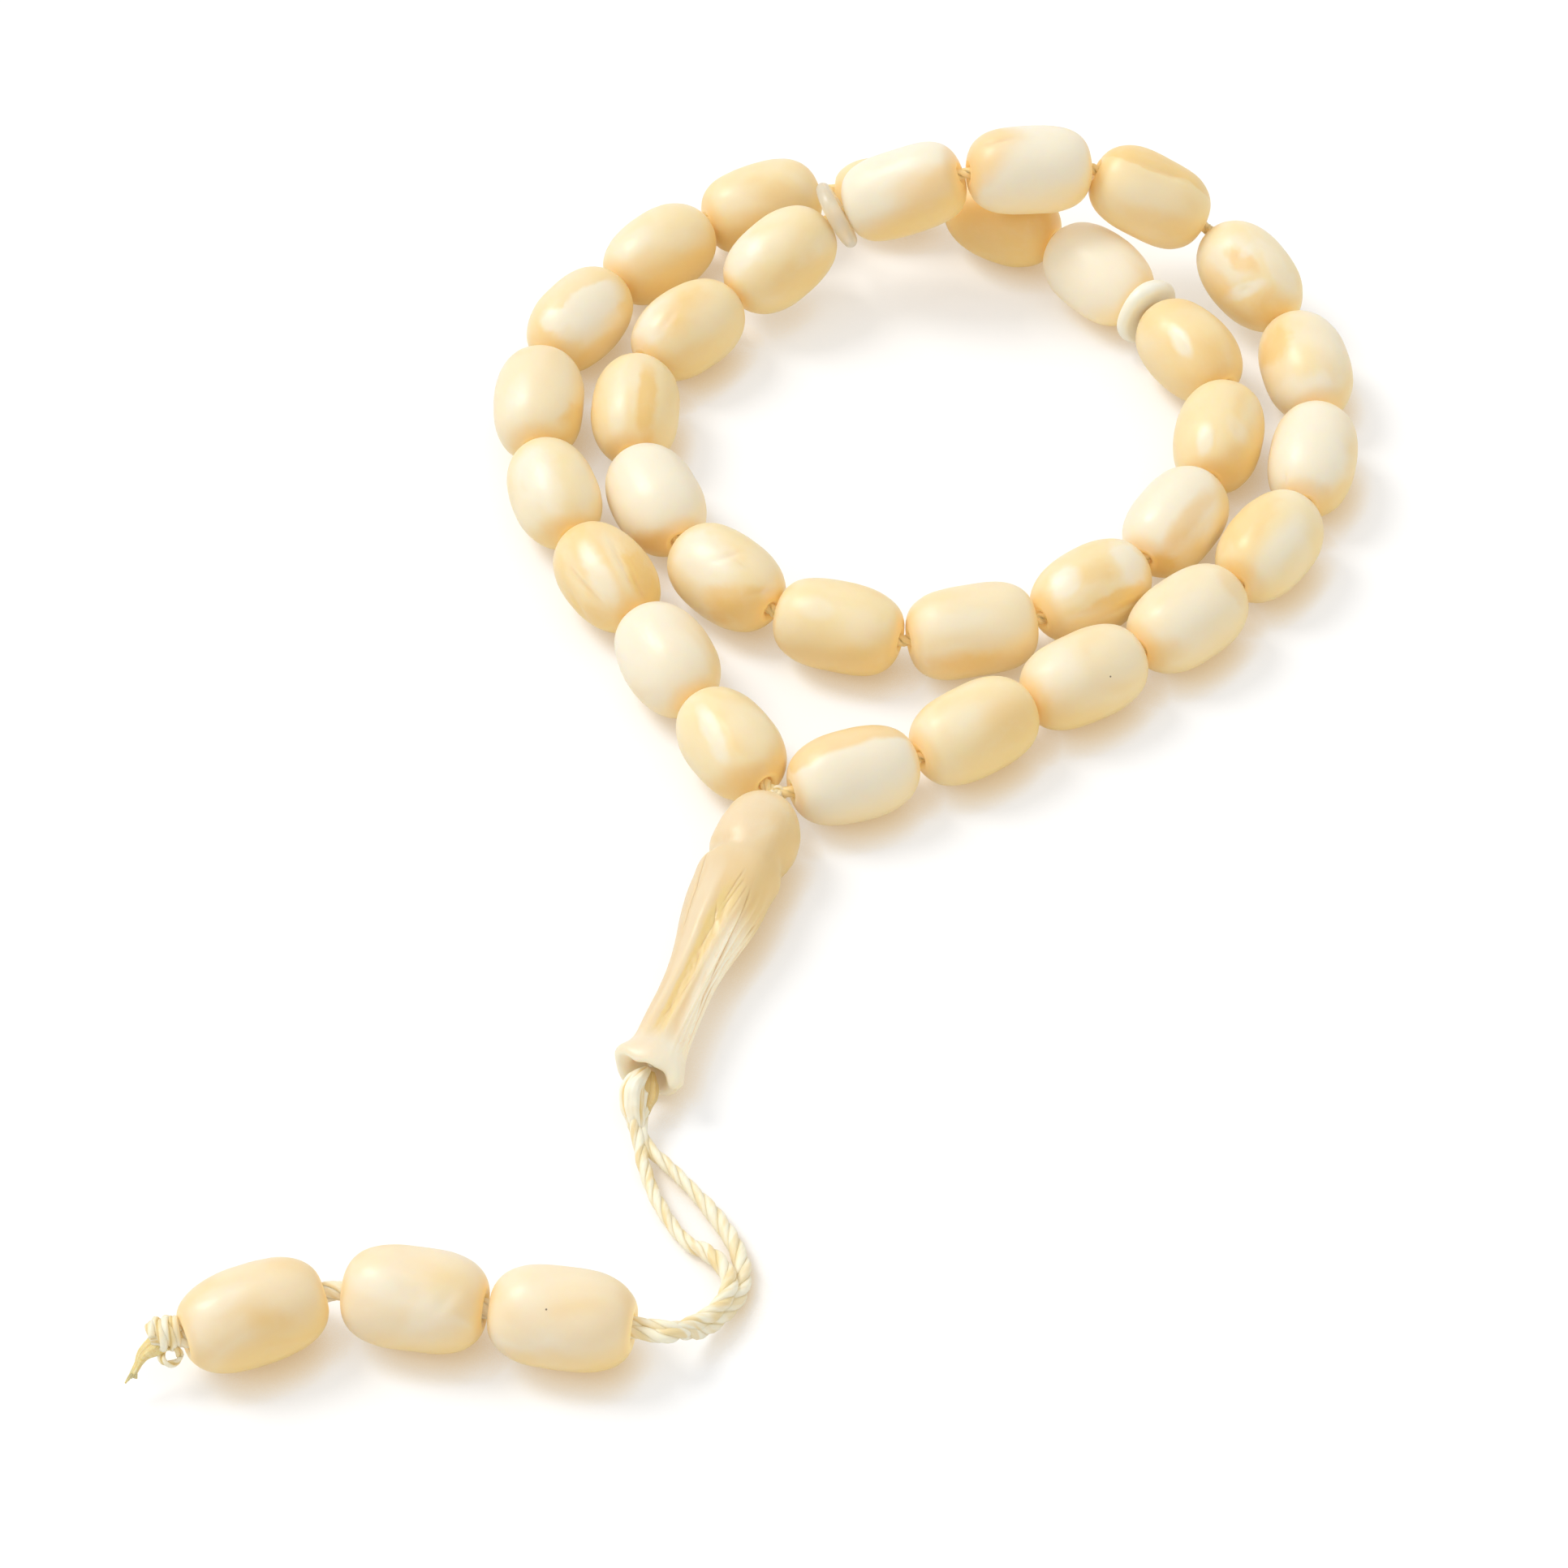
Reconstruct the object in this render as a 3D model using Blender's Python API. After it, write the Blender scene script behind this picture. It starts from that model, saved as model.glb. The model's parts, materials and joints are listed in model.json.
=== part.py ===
"""Misbaha: thirty-three barrel beads in three runs of eleven, two separator discs, an imame with a flared foot and a
tail of three beads, all threaded on one cord and laid down in a double coil. Millimetres in the maths, metres in the solids."""
import math

import bmesh
import bpy
import numpy as np
from mathutils import Matrix, Vector

# ---------------------------------------------------------------- driving dimensions (mm)
MM = 0.001
SIDES = 14                    # facets round every bead, so one facet lies flat on the table
BEAD_R = 4.5                  # 9 mm beads
BEAD_L = 12.5
BEAD_END_R = 1.35              # worn flat round each hole
BEAD_POWER = 2.3              # fullness of the barrel: 2 is an ellipse, larger is squarer
BORE_R = 1.05
TAIL_BORE_R = 1.45            # tail beads carry both strands
DISC_R, DISC_T = 3.7, 1.6
CORD_R = 0.65
BUNDLE_R = 1.05               # both strands side by side
STRAND_R = 0.78
CORD_END = 0.4                # how far each length of cord stops short of a pivot
BEADS_PER_RUN = 11
REST_Z = BEAD_R * math.cos(math.pi / SIDES)   # bead axis height when a facet is on the table
HINGE_GAP = 0.55              # bare cord left where the coil is lifted
SHOWN_GAP = 0.45              # bare cord seen at the front of the inner turn
LOOSE_GAP = 0.48              # bare cord between the beads of the first run
JUNCTION_R = 1.6              # how far the three bores stop short of the point where the strands meet
IMAME_L = 34.0
IMAME_HEAD_R = 4.15
IMAME_FOOT_R = 3.5
KNOT_R = 1.55

# Way points of the cord as it lies on the table: x, y and the height of its centre line.
G = REST_Z
JOIN = (-0.8, -5.3, G)        # where both strands enter the imame
COIL = [
    JOIN, (13, -0.5, G), (24.5, 7, G), (35.5, 14, G), (45.5, 23, G), (52.5, 34, G), (55, 47, G), (52.5, 60, G),
    (43.5, 71.5, 8.0), (31.5, 74, 13.4), (18, 72, 14.2), (5, 71.5, 8.6), (-5, 63.5, G + 0.4), (-14.5, 54.5, G),
    (-15.5, 41, G), (-10.5, 28.5, G), (-1, 19, G), (12, 15, G), (25.5, 18, G), (36, 26, G), (43, 37, G), (45.5, 50.5, G),
    (38, 61.5, G), (30, 71, G), (19.5, 78.5, G), (5.5, 80.5, G), (-7, 76, G), (-17, 66.5, G), (-24.5, 56, G),
    (-25.5, 43, G), (-21.5, 30, G), (-14.5, 18.5, G), (-8.5, 6.5, G), JOIN,
]
LIFT_RIGHT, LIFT_LEFT = 8, 27  # the outer turn is everything before the ninth piece and after the twenty-seventh

# Imame: outline as distance from its top and radius, then the direction it lies in.
IMAME_PROFILE = [
    (0.0, 1.9), (0.7, 2.8), (2.2, 3.65), (4.6, IMAME_HEAD_R - 0.03), (7.2, IMAME_HEAD_R), (8.8, 3.85), (10.2, 3.9),
    (14.0, 3.7), (18.0, 3.2), (22.0, 2.75), (28.0, 2.65), (IMAME_L - 2.2, 2.75), (IMAME_L - 1.2, 3.35),
    (IMAME_L - 0.5, IMAME_FOOT_R), (IMAME_L, IMAME_FOOT_R - 0.2),
]
IMAME_HEADING = math.radians(-109.4)
IMAME_TOP = 1.8               # distance from the join to the rim of its top hole
KNOT_AT = IMAME_L + 1.0       # centre of the knot that stops the imame

# Tail: an eye of two strands, then the doubled cord through three beads.
EYE_LEFT = [(-14.0, -43.4, 2.0), (-13.1, -48.4, 0.9), (-10.1, -54.0, 0.9), (-6.3, -58.6, 1.0)]
EYE_RIGHT = [(-12.2, -43.9, 2.0), (-8.6, -49.4, 0.9), (-5.3, -54.2, 0.9), (-3.4, -58.3, 1.0)]
EYE_END = (-4.0, -61.4, 1.25)
TAIL_LEAD = [(-4.6, -65.0, 2.0), (-7.2, -67.9, 3.5)]
TAIL_R, TAIL_L = 4.65, 13.0
TAIL_Z = TAIL_R * math.cos(math.pi / SIDES)
TAIL_SLIDE = 3.0              # bare cord the first tail bead can run up
TAIL_OPEN = 1.1               # bare cord between the second and third
TAIL = [(-13.4, -68.5, TAIL_Z), (-26.5, -66.4, TAIL_Z), (-40.4, -64.4, TAIL_Z), (-53.3, -69.6, TAIL_Z), (-62.0, -73.0, TAIL_Z)]


# ---------------------------------------------------------------- lay of the cord
def spline(points, step=0.1):
    """Centripetal Catmull-Rom curve through the way points, cut into short equal-ish steps."""
    p = [np.array(q, float) for q in points]
    p = [2 * p[0] - p[1]] + p + [2 * p[-1] - p[-2]]
    out = []
    for a, b, c, d in zip(p, p[1:], p[2:], p[3:]):
        t = [0.0]
        for u, v in ((a, b), (b, c), (c, d)):
            t.append(t[-1] + math.sqrt(np.linalg.norm(v - u)))
        n = max(2, int(np.linalg.norm(c - b) / step))
        for k in range(n):
            x = t[1] + (t[2] - t[1]) * k / n
            a1 = (t[1] - x) / (t[1] - t[0]) * a + (x - t[0]) / (t[1] - t[0]) * b
            a2 = (t[2] - x) / (t[2] - t[1]) * b + (x - t[1]) / (t[2] - t[1]) * c
            a3 = (t[3] - x) / (t[3] - t[2]) * c + (x - t[2]) / (t[3] - t[2]) * d
            b1 = (t[2] - x) / (t[2] - t[0]) * a1 + (x - t[0]) / (t[2] - t[0]) * a2
            b2 = (t[3] - x) / (t[3] - t[1]) * a2 + (x - t[1]) / (t[3] - t[1]) * a3
            out.append((t[2] - x) / (t[2] - t[1]) * b1 + (x - t[1]) / (t[2] - t[1]) * b2)
    out.append(p[-2])
    return np.array(out)


def point_at(line, s):
    i = min(int(s), len(line) - 2)
    return line[i] + (line[i + 1] - line[i]) * (s - i)


def chord_end(line, s, length):
    """Parameter of the first point further along the line that lies one chord away from the point at s."""
    here = point_at(line, s)
    i = int(s) + 1
    far = np.linalg.norm(line[i:] - here, axis=1)
    k = int(np.argmax(far >= length))
    if far[k] < length:
        return None
    j = i + k
    lo, hi = float(max(j - 1, s)), float(j)
    for _ in range(30):
        mid = (lo + hi) / 2
        if np.linalg.norm(point_at(line, mid) - here) < length:
            lo = mid
        else:
            hi = mid
    return hi


def barrel(length, radius, end):
    """Outline of a bead: a superellipse with a straight band round its middle, cut square at the worn ends."""
    a = length / 2 / (1 - (end / radius) ** BEAD_POWER) ** (1 / BEAD_POWER)
    out = []
    for f in (-1, -0.9, -0.66, -0.22, 0.22, 0.66, 0.9, 1):
        x = length / 2 * f
        r = radius * (1 - (abs(x) / a) ** BEAD_POWER) ** (1 / BEAD_POWER)
        out.append((x, radius if abs(f) < 0.3 else r))
    return out


BARREL = barrel(BEAD_L, BEAD_R, BEAD_END_R)
TAIL_BARREL = barrel(TAIL_L, TAIL_R, TAIL_BORE_R + 0.3)
DISC = [(-DISC_T / 2, DISC_R - 0.5), (-DISC_T / 2 + 0.5, DISC_R), (DISC_T / 2 - 0.5, DISC_R), (DISC_T / 2, DISC_R - 0.5)]


class Link:
    """A threaded piece: centre, direction of its bore, outline and length."""

    def __init__(self, a, b, outline, name):
        self.a, self.b = np.array(a), np.array(b)
        self.c = (self.a + self.b) / 2
        self.t = (self.b - self.a) / np.linalg.norm(self.b - self.a)
        self.outline = [(-abs(outline[0][0]), 0.0)] + list(outline) + [(abs(outline[0][0]), 0.0)]
        self.name = name

    def skin(self, n=28, m=6):
        u = np.cross(self.t, (0.0, 0.0, 1.0))
        u /= np.linalg.norm(u)
        v = np.cross(self.t, u)
        pts = []
        for (x0, r0), (x1, r1) in zip(self.outline, self.outline[1:]):
            for i in range(m):
                f = i / m
                pts.append((x0 + (x1 - x0) * f, r0 + (r1 - r0) * f))
        pr = np.array(pts)
        ang = np.arange(n) * 2 * math.pi / n
        ring = np.cos(ang)[:, None] * u + np.sin(ang)[:, None] * v
        return (self.c + pr[:, 0][:, None, None] * self.t + pr[:, 1][:, None, None] * ring[None]).reshape(-1, 3)

    def distance(self, pts):
        """Signed distance of points from the turned outline."""
        d = pts - self.c
        x = d @ self.t
        r = np.linalg.norm(d - x[:, None] * self.t, axis=1)
        o = np.array(self.outline)
        best = np.full(len(pts), 1e9)
        inside = np.abs(x) < abs(o[0][0])
        top = np.interp(x, o[1:-1, 0], o[1:-1, 1])
        inside &= r < top
        for (x0, r0), (x1, r1) in zip(o, o[1:]):
            ex, er = x1 - x0, r1 - r0
            f = np.clip(((x - x0) * ex + (r - r0) * er) / (ex * ex + er * er + 1e-12), 0, 1)
            best = np.minimum(best, np.hypot(x - x0 - f * ex, r - r0 - f * er))
        return np.where(inside, -best, best)


def clearance(p, q):
    if np.linalg.norm(p.c - q.c) > BEAD_L + 2:
        return 9.0
    return float(min(q.distance(p.skin()).min(), p.distance(q.skin()).min()))


def thread(line, pieces, gap, start):
    """Pushes the pieces up the cord one after another, each as close to the last as the gap allows."""
    placed, s = [], start
    for name, length, outline, extra in pieces:
        lo, hi = s, s + 40.0
        if placed:
            for _ in range(14):
                mid = (lo + hi) / 2
                e = chord_end(line, mid, length)
                if e is None:
                    return None
                trial = Link(point_at(line, mid), point_at(line, e), outline, name)
                if clearance(placed[-1], trial) < max(gap, extra):
                    lo = mid
                else:
                    hi = mid
            s = hi
        e = chord_end(line, s, length)
        if e is None:
            return None
        placed.append(Link(point_at(line, s), point_at(line, e), outline, name))
        s = e
    return placed, s


def coil_pieces():
    """Eleven beads, a disc, eleven beads, a disc, eleven beads. The first run hangs loosest, and bare cord shows in a few places."""
    wide = {8: HINGE_GAP, 9: HINGE_GAP, 17: SHOWN_GAP, 18: SHOWN_GAP, 25: HINGE_GAP}
    out, bead = [], 0
    for run in range(3):
        for _ in range(BEADS_PER_RUN):
            gap = wide.get(bead, LOOSE_GAP if run == 0 else 0.0)
            out.append(("bead_%02d" % (bead + 1), BEAD_L, BARREL, gap))
            bead += 1
        if run < 2:
            out.append(("separator_%d" % (run + 1), DISC_T, DISC, 0.0))
    return out


def lay_coil():
    """Shares the slack out evenly, so that the last bead stops at the imame as the first one starts there."""
    line = spline(COIL)
    line[:, 2] = np.maximum(line[:, 2], G)    # the table holds every bead up
    steps = np.linalg.norm(line - np.array(JOIN), axis=1)
    start = float(np.argmax(steps >= JUNCTION_R))
    lo, hi = 0.0, 1.5
    best = None
    for _ in range(12):
        mid = (lo + hi) / 2
        r = thread(line, coil_pieces(), mid, start)
        over = r is None or np.linalg.norm(r[0][-1].b - np.array(JOIN)) < JUNCTION_R or r[1] > len(line) - 3
        if over:
            hi = mid
        else:
            lo, best = mid, r[0]
    return best, lo


def lay_tail():
    """The three tail beads, the first two snug and the last standing off by the bare length of cord."""
    line = spline(TAIL)
    pieces = [("tail_bead_1", TAIL_L, TAIL_BARREL, 0.0), ("tail_bead_2", TAIL_L, TAIL_BARREL, 0.3), ("tail_bead_3", TAIL_L, TAIL_BARREL, TAIL_OPEN)]
    return thread(line, pieces, 0.0, 0.0)[0]


def imame_point(s):
    """Point on the imame's axis at a distance s from its top. The axis falls slightly, so head and foot both touch the table."""
    drop = math.asin((G - IMAME_FOOT_R) / (IMAME_TOP + IMAME_L))
    u = np.array((math.cos(IMAME_HEADING) * math.cos(drop), math.sin(IMAME_HEADING) * math.cos(drop), -math.sin(drop)))
    return np.array(JOIN) + u * (IMAME_TOP + s)


# ---------------------------------------------------------------- solids
def clear_scene():
    for obj in list(bpy.data.objects):
        bpy.data.objects.remove(obj, do_unlink=True)


def material(name, colour, roughness, transmission=0.0):
    mat = bpy.data.materials.new(name)
    mat.use_nodes = True
    shader = mat.node_tree.nodes["Principled BSDF"]
    shader.inputs["Base Color"].default_value = (*colour, 1.0)
    shader.inputs["Roughness"].default_value = roughness
    shader.inputs["Subsurface Weight"].default_value = transmission
    mat.diffuse_color = (*colour, 1.0)
    return mat


def lathe_mesh(name, profile, sides):
    """Spins a closed profile of (axial, radial) points about the local X axis, with one facet facing straight down."""
    bm = bmesh.new()
    ring = [bm.verts.new((x * MM, 0.0, -r * MM)) for x, r in profile]
    edges = [bm.edges.new((a, b)) for a, b in zip(ring, ring[1:] + ring[:1])]
    bmesh.ops.rotate(bm, verts=ring, cent=(0, 0, 0), matrix=Matrix.Rotation(math.pi / sides, 3, "X"))
    bmesh.ops.spin(bm, geom=ring + edges, cent=(0, 0, 0), axis=(1, 0, 0), angle=2 * math.pi, steps=sides, use_merge=True)
    bmesh.ops.remove_doubles(bm, verts=bm.verts, dist=1e-6)
    bmesh.ops.recalc_face_normals(bm, faces=bm.faces)
    for face in bm.faces:
        face.smooth = abs(face.normal.x) < 0.95
    mesh = bpy.data.meshes.new(name)
    bm.to_mesh(mesh)
    bm.free()
    return mesh


def frame_on(centre, direction):
    """Placement with local X along the bore and local Z as near straight up as the bore allows."""
    x = Vector(direction).normalized()
    y = Vector((0, 0, 1)).cross(x).normalized()
    z = x.cross(y)
    m = Matrix((x, y, z)).transposed().to_4x4()
    m.translation = Vector(centre) * MM
    return m


def place(name, mesh, centre, direction, mat):
    obj = bpy.data.objects.new(name, mesh)
    bpy.context.scene.collection.objects.link(obj)
    obj.matrix_world = frame_on(centre, direction)
    if not mesh.materials:
        mesh.materials.append(mat)
    obj.material_slots[0].link = "OBJECT"
    obj.material_slots[0].material = mat
    return obj


def tube_mesh(name, path, radii, sides, origin):
    """Sweeps a round section along a path of points, turning it as little as possible from one point to the next."""
    pts = [Vector(p) for p in path]
    n = len(pts)
    if not hasattr(radii, "__len__"):
        radii = [radii] * n
    tangents = []
    for i in range(n):
        a = (pts[i] - pts[i - 1]).normalized() if i else Vector((0, 0, 0))
        b = (pts[i + 1] - pts[i]).normalized() if i < n - 1 else Vector((0, 0, 0))
        tangents.append((a + b).normalized())
    side = tangents[0].cross(Vector((0, 0, 1)))
    if side.length < 1e-3:
        side = tangents[0].cross(Vector((1, 0, 0)))
    side.normalize()
    bm = bmesh.new()
    rings = []
    for i in range(n):
        if i:
            side = tangents[i - 1].rotation_difference(tangents[i]) @ side
            side = (side - tangents[i] * side.dot(tangents[i])).normalized()
        other = tangents[i].cross(side)
        ring = []
        for k in range(sides):
            a = 2 * math.pi * (k + 0.5) / sides
            p = pts[i] + (side * math.cos(a) + other * math.sin(a)) * radii[i]
            ring.append(bm.verts.new((p - Vector(origin)) * MM))
        rings.append(ring)
    for r, s in zip(rings, rings[1:]):
        for k in range(sides):
            face = bm.faces.new((r[k], r[(k + 1) % sides], s[(k + 1) % sides], s[k]))
            face.smooth = True
    bm.faces.new(rings[0][::-1])
    bm.faces.new(rings[-1])
    bmesh.ops.recalc_face_normals(bm, faces=bm.faces)
    mesh = bpy.data.meshes.new(name)
    bm.to_mesh(mesh)
    bm.free()
    return mesh


def ball_mesh(name, centre, radii, origin, rings=8, sides=12):
    bm = bmesh.new()
    bmesh.ops.create_uvsphere(bm, u_segments=sides, v_segments=rings, radius=1.0)
    bmesh.ops.scale(bm, vec=Vector(radii) * MM, verts=bm.verts)
    bmesh.ops.translate(bm, vec=(Vector(centre) - Vector(origin)) * MM, verts=bm.verts)
    for face in bm.faces:
        face.smooth = True
    mesh = bpy.data.meshes.new(name)
    bm.to_mesh(mesh)
    bm.free()
    return mesh


def stand(name, mesh, origin, mat):
    obj = bpy.data.objects.new(name, mesh)
    bpy.context.scene.collection.objects.link(obj)
    obj.location = Vector(origin) * MM
    mesh.materials.clear()
    mesh.materials.append(mat)
    return obj


def united(name, meshes, origin, mat):
    """One solid from several overlapping ones, through exact Boolean unions."""
    base = stand(name, meshes[0], origin, mat)
    tools = []
    for k, mesh in enumerate(meshes[1:]):
        tool = stand("%s_tool_%d" % (name, k), mesh, origin, mat)
        tool.hide_render = True
        tool.display_type = "WIRE"
        mod = base.modifiers.new("union_%d" % k, "BOOLEAN")
        mod.operation = "UNION"
        mod.solver = "EXACT"
        mod.object = tool
        tools.append(tool)
    bpy.context.view_layer.update()
    graph = bpy.context.evaluated_depsgraph_get()
    joined = bpy.data.meshes.new_from_object(base.evaluated_get(graph))
    base.modifiers.clear()
    base.data = joined
    for tool in tools:
        bpy.data.objects.remove(tool, do_unlink=True)
    return base


def through(links, lead=0.8):
    """Centre line of a length of cord: straight inside each bead, bending only in the gaps."""
    path = []
    for i, k in enumerate(links):
        if i:
            path.append((links[i - 1].b + k.a) / 2)
        if k.name.startswith("separator"):
            path.append(k.c)
        else:
            path += [k.a + k.t * lead, k.b - k.t * lead]
    return path


def towards(a, b, d):
    a, b = np.array(a, float), np.array(b, float)
    return a + (b - a) * d / np.linalg.norm(b - a)


def build():
    clear_scene()
    coil, _ = lay_coil()
    cream = (0.86, 0.74, 0.52)

    def resin(name, k):
        """Neighbouring beads differ a little in warmth, going round in a cycle of five."""
        w = (k * 2 % 5) / 4.0
        return material(name, (cream[0], cream[1] - 0.06 * w, cream[2] - 0.16 * w), 0.32, 0.25)

    def silk(name):
        return material(name, (0.83, 0.76, 0.58), 0.6)

    # beads and separators of the coil
    bead = lathe_mesh("bead_body", BARREL + [(BEAD_L / 2, BORE_R), (-BEAD_L / 2, BORE_R)], SIDES)
    disc = lathe_mesh("separator_body", DISC + [(DISC_T / 2, BORE_R), (-DISC_T / 2, BORE_R)], SIDES)
    for k, link in enumerate(coil):
        is_disc = link.name.startswith("separator")
        mat = material(link.name, (0.88, 0.86, 0.8), 0.25, 0.3) if is_disc else resin(link.name, k)
        place(link.name, disc if is_disc else bead, link.c, link.t, mat)

    # cord of the coil: the inner turn stays put, the outer turn lifts
    right, inner, left = coil[:LIFT_RIGHT], coil[LIFT_RIGHT:LIFT_LEFT], coil[LIFT_LEFT:]
    p_right = (right[-1].b + inner[0].a) / 2
    p_left = (inner[-1].b + left[0].a) / 2
    path = through(inner)
    path = [towards(p_right, inner[0].a, CORD_END)] + path + [towards(p_left, inner[-1].b, CORD_END)]
    stand("cord_inner_turn", tube_mesh("cord_inner_turn", path, CORD_R, 8, inner[9].c), inner[9].c, silk("cord_inner_turn"))
    path = [towards(right[0].a, JOIN, 0.3)] + through(right) + [towards(p_right, right[-1].b, CORD_END)]
    stand("cord_outer_right", tube_mesh("cord_outer_right", path, CORD_R, 8, p_right), p_right, silk("cord_outer_right"))
    path = [towards(p_left, left[0].a, CORD_END)] + through(left) + [towards(left[-1].b, JOIN, 0.3)]
    stand("cord_outer_left", tube_mesh("cord_outer_left", path, CORD_R, 8, p_left), p_left, silk("cord_outer_left"))
    stand("cord_yoke", ball_mesh("cord_yoke", JOIN, (0.8, 0.8, 0.8), JOIN), JOIN, silk("cord_yoke"))

    # imame, turned in one piece, hollow at the foot like the bell of a trumpet
    top = imame_point(0.0)
    foot = imame_point(IMAME_L)
    body = [(s, r) for s, r in IMAME_PROFILE] + [(IMAME_L, 2.6), (IMAME_L - 1.4, 1.75), (IMAME_L - 3.2, TAIL_BORE_R), (0.0, TAIL_BORE_R)]
    imame = lathe_mesh("imame_body", [(s - IMAME_L / 2, r) for s, r in body], 20)
    place("imame", imame, (top + foot) / 2, foot - top, material("imame", (0.84, 0.69, 0.42), 0.3, 0.4))
    knot = imame_point(KNOT_AT)
    path = [imame_point(s) for s in (-0.45, 1.5, IMAME_L / 2, KNOT_AT - KNOT_R - 0.35)]
    stand("cord_imame", tube_mesh("cord_imame", path, [CORD_R, BUNDLE_R, BUNDLE_R, BUNDLE_R], 10, JOIN), JOIN, silk("cord_imame"))

    # the two strands part below the knot and meet again before the tail beads
    fork = [knot, *EYE_LEFT, EYE_END]
    other = [knot, *EYE_RIGHT, EYE_END]
    strands = []
    for n, way in enumerate((fork, other)):
        line = spline(way)
        pick = [line[int(round(i))] for i in np.linspace(0, len(line) - 1, 17)]
        pick[-1] = towards(EYE_END, pick[-2], CORD_END)
        strands.append(tube_mesh("strand_%d" % n, pick, STRAND_R, 8, knot))
    ball = ball_mesh("knot", knot, (KNOT_R, KNOT_R, KNOT_R), knot)
    united("cord_tail_upper", [ball] + strands, knot, silk("cord_tail_upper"))

    # tail beads
    tail = lay_tail()
    solid = lathe_mesh("tail_bead_body", TAIL_BARREL + [(TAIL_L / 2, TAIL_BORE_R), (-TAIL_L / 2, TAIL_BORE_R)], SIDES)
    for k, link in enumerate(tail):
        place(link.name, solid, link.c, link.t, resin(link.name, k + 2))
    pivots = [(tail[0].b + tail[1].a) / 2, (tail[1].b + tail[2].a) / 2]
    end = np.array(EYE_END)
    lower = spline([end, *TAIL_LEAD, towards(tail[0].a, tail[0].c, -TAIL_SLIDE - 0.6), tail[0].a])
    pick = [lower[int(round(i))] for i in np.linspace(0, len(lower) - 1, 14)]
    pick[0] = towards(end, pick[1], CORD_END)
    path = pick + [tail[0].c, tail[0].b - tail[0].t * 0.8, towards(pivots[0], tail[0].b, 0.2)]
    stand("cord_tail_lower", tube_mesh("cord_tail_lower", path, BUNDLE_R, 10, end), end, silk("cord_tail_lower"))
    path = [towards(pivots[0], tail[1].a, 0.2), tail[1].a + tail[1].t * 0.8, tail[1].b, towards(pivots[1], tail[1].b, 0.3)]
    stand("cord_tail_mid", tube_mesh("cord_tail_mid", path, BUNDLE_R, 10, pivots[0]), pivots[0], silk("cord_tail_mid"))
    stop = tail[2].b + tail[2].t * (KNOT_R + 0.45) + np.array((0.0, 0.0, -0.5))
    path = [towards(pivots[1], tail[2].a, 0.3), tail[2].a, tail[2].b - tail[2].t * 0.8, stop]
    cord = tube_mesh("end_cord", path, BUNDLE_R, 10, pivots[1])
    ball = ball_mesh("end_knot", stop, (KNOT_R, KNOT_R + 0.2, KNOT_R), pivots[1])
    fray = [stop, stop + np.array((-1.5, -0.8, -1.4)), stop + np.array((-2.6, -1.8, -2.6)), stop + np.array((-3.1, -2.9, -2.9))]
    tuft = tube_mesh("tuft", fray, [0.6, 0.5, 0.4, 0.32], 6, pivots[1])
    united("cord_tail_end", [ball, cord, tuft], pivots[1], silk("cord_tail_end"))
    settle()


def settle():
    """Moves the whole set so that the middle of its footprint is at the origin and its lowest facet at height zero."""
    bpy.context.view_layer.update()
    corners = [o.matrix_world @ v.co for o in bpy.data.objects if o.type == "MESH" for v in o.data.vertices]
    low = [min(c[i] for c in corners) for i in range(3)]
    high = [max(c[i] for c in corners) for i in range(3)]
    shift = Vector(((low[0] + high[0]) / 2, (low[1] + high[1]) / 2, low[2]))
    for o in bpy.data.objects:
        o.location = o.location - shift


build()
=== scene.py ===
"""Looks for the misbaha: milky resin beads, two thin discs, a carved imame and a twisted silk cord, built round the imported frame."""
import json
import math

import bpy
import numpy as np
from mathutils import Matrix, Vector, noise


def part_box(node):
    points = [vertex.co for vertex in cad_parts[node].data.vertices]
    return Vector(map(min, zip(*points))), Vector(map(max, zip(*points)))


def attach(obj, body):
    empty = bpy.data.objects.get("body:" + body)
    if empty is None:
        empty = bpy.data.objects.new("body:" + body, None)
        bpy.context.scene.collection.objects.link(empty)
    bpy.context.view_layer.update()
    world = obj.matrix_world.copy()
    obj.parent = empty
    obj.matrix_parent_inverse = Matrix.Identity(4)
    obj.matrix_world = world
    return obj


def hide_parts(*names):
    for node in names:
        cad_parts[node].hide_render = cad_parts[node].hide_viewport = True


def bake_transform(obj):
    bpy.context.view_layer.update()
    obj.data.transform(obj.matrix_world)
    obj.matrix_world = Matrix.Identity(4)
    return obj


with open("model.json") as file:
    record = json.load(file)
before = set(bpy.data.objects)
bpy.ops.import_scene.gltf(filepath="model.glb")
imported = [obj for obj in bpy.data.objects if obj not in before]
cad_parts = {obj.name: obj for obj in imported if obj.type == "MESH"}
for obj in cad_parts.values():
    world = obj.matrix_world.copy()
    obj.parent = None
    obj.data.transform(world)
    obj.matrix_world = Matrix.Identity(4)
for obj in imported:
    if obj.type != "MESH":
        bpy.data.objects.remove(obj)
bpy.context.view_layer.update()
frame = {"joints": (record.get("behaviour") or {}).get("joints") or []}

MM = 0.001
JOINTS = {j["name"]: j for j in frame["joints"]}


def arr(p):
    return np.array(p, float)


def unit(v):
    v = arr(v)
    return v / np.linalg.norm(v)


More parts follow.
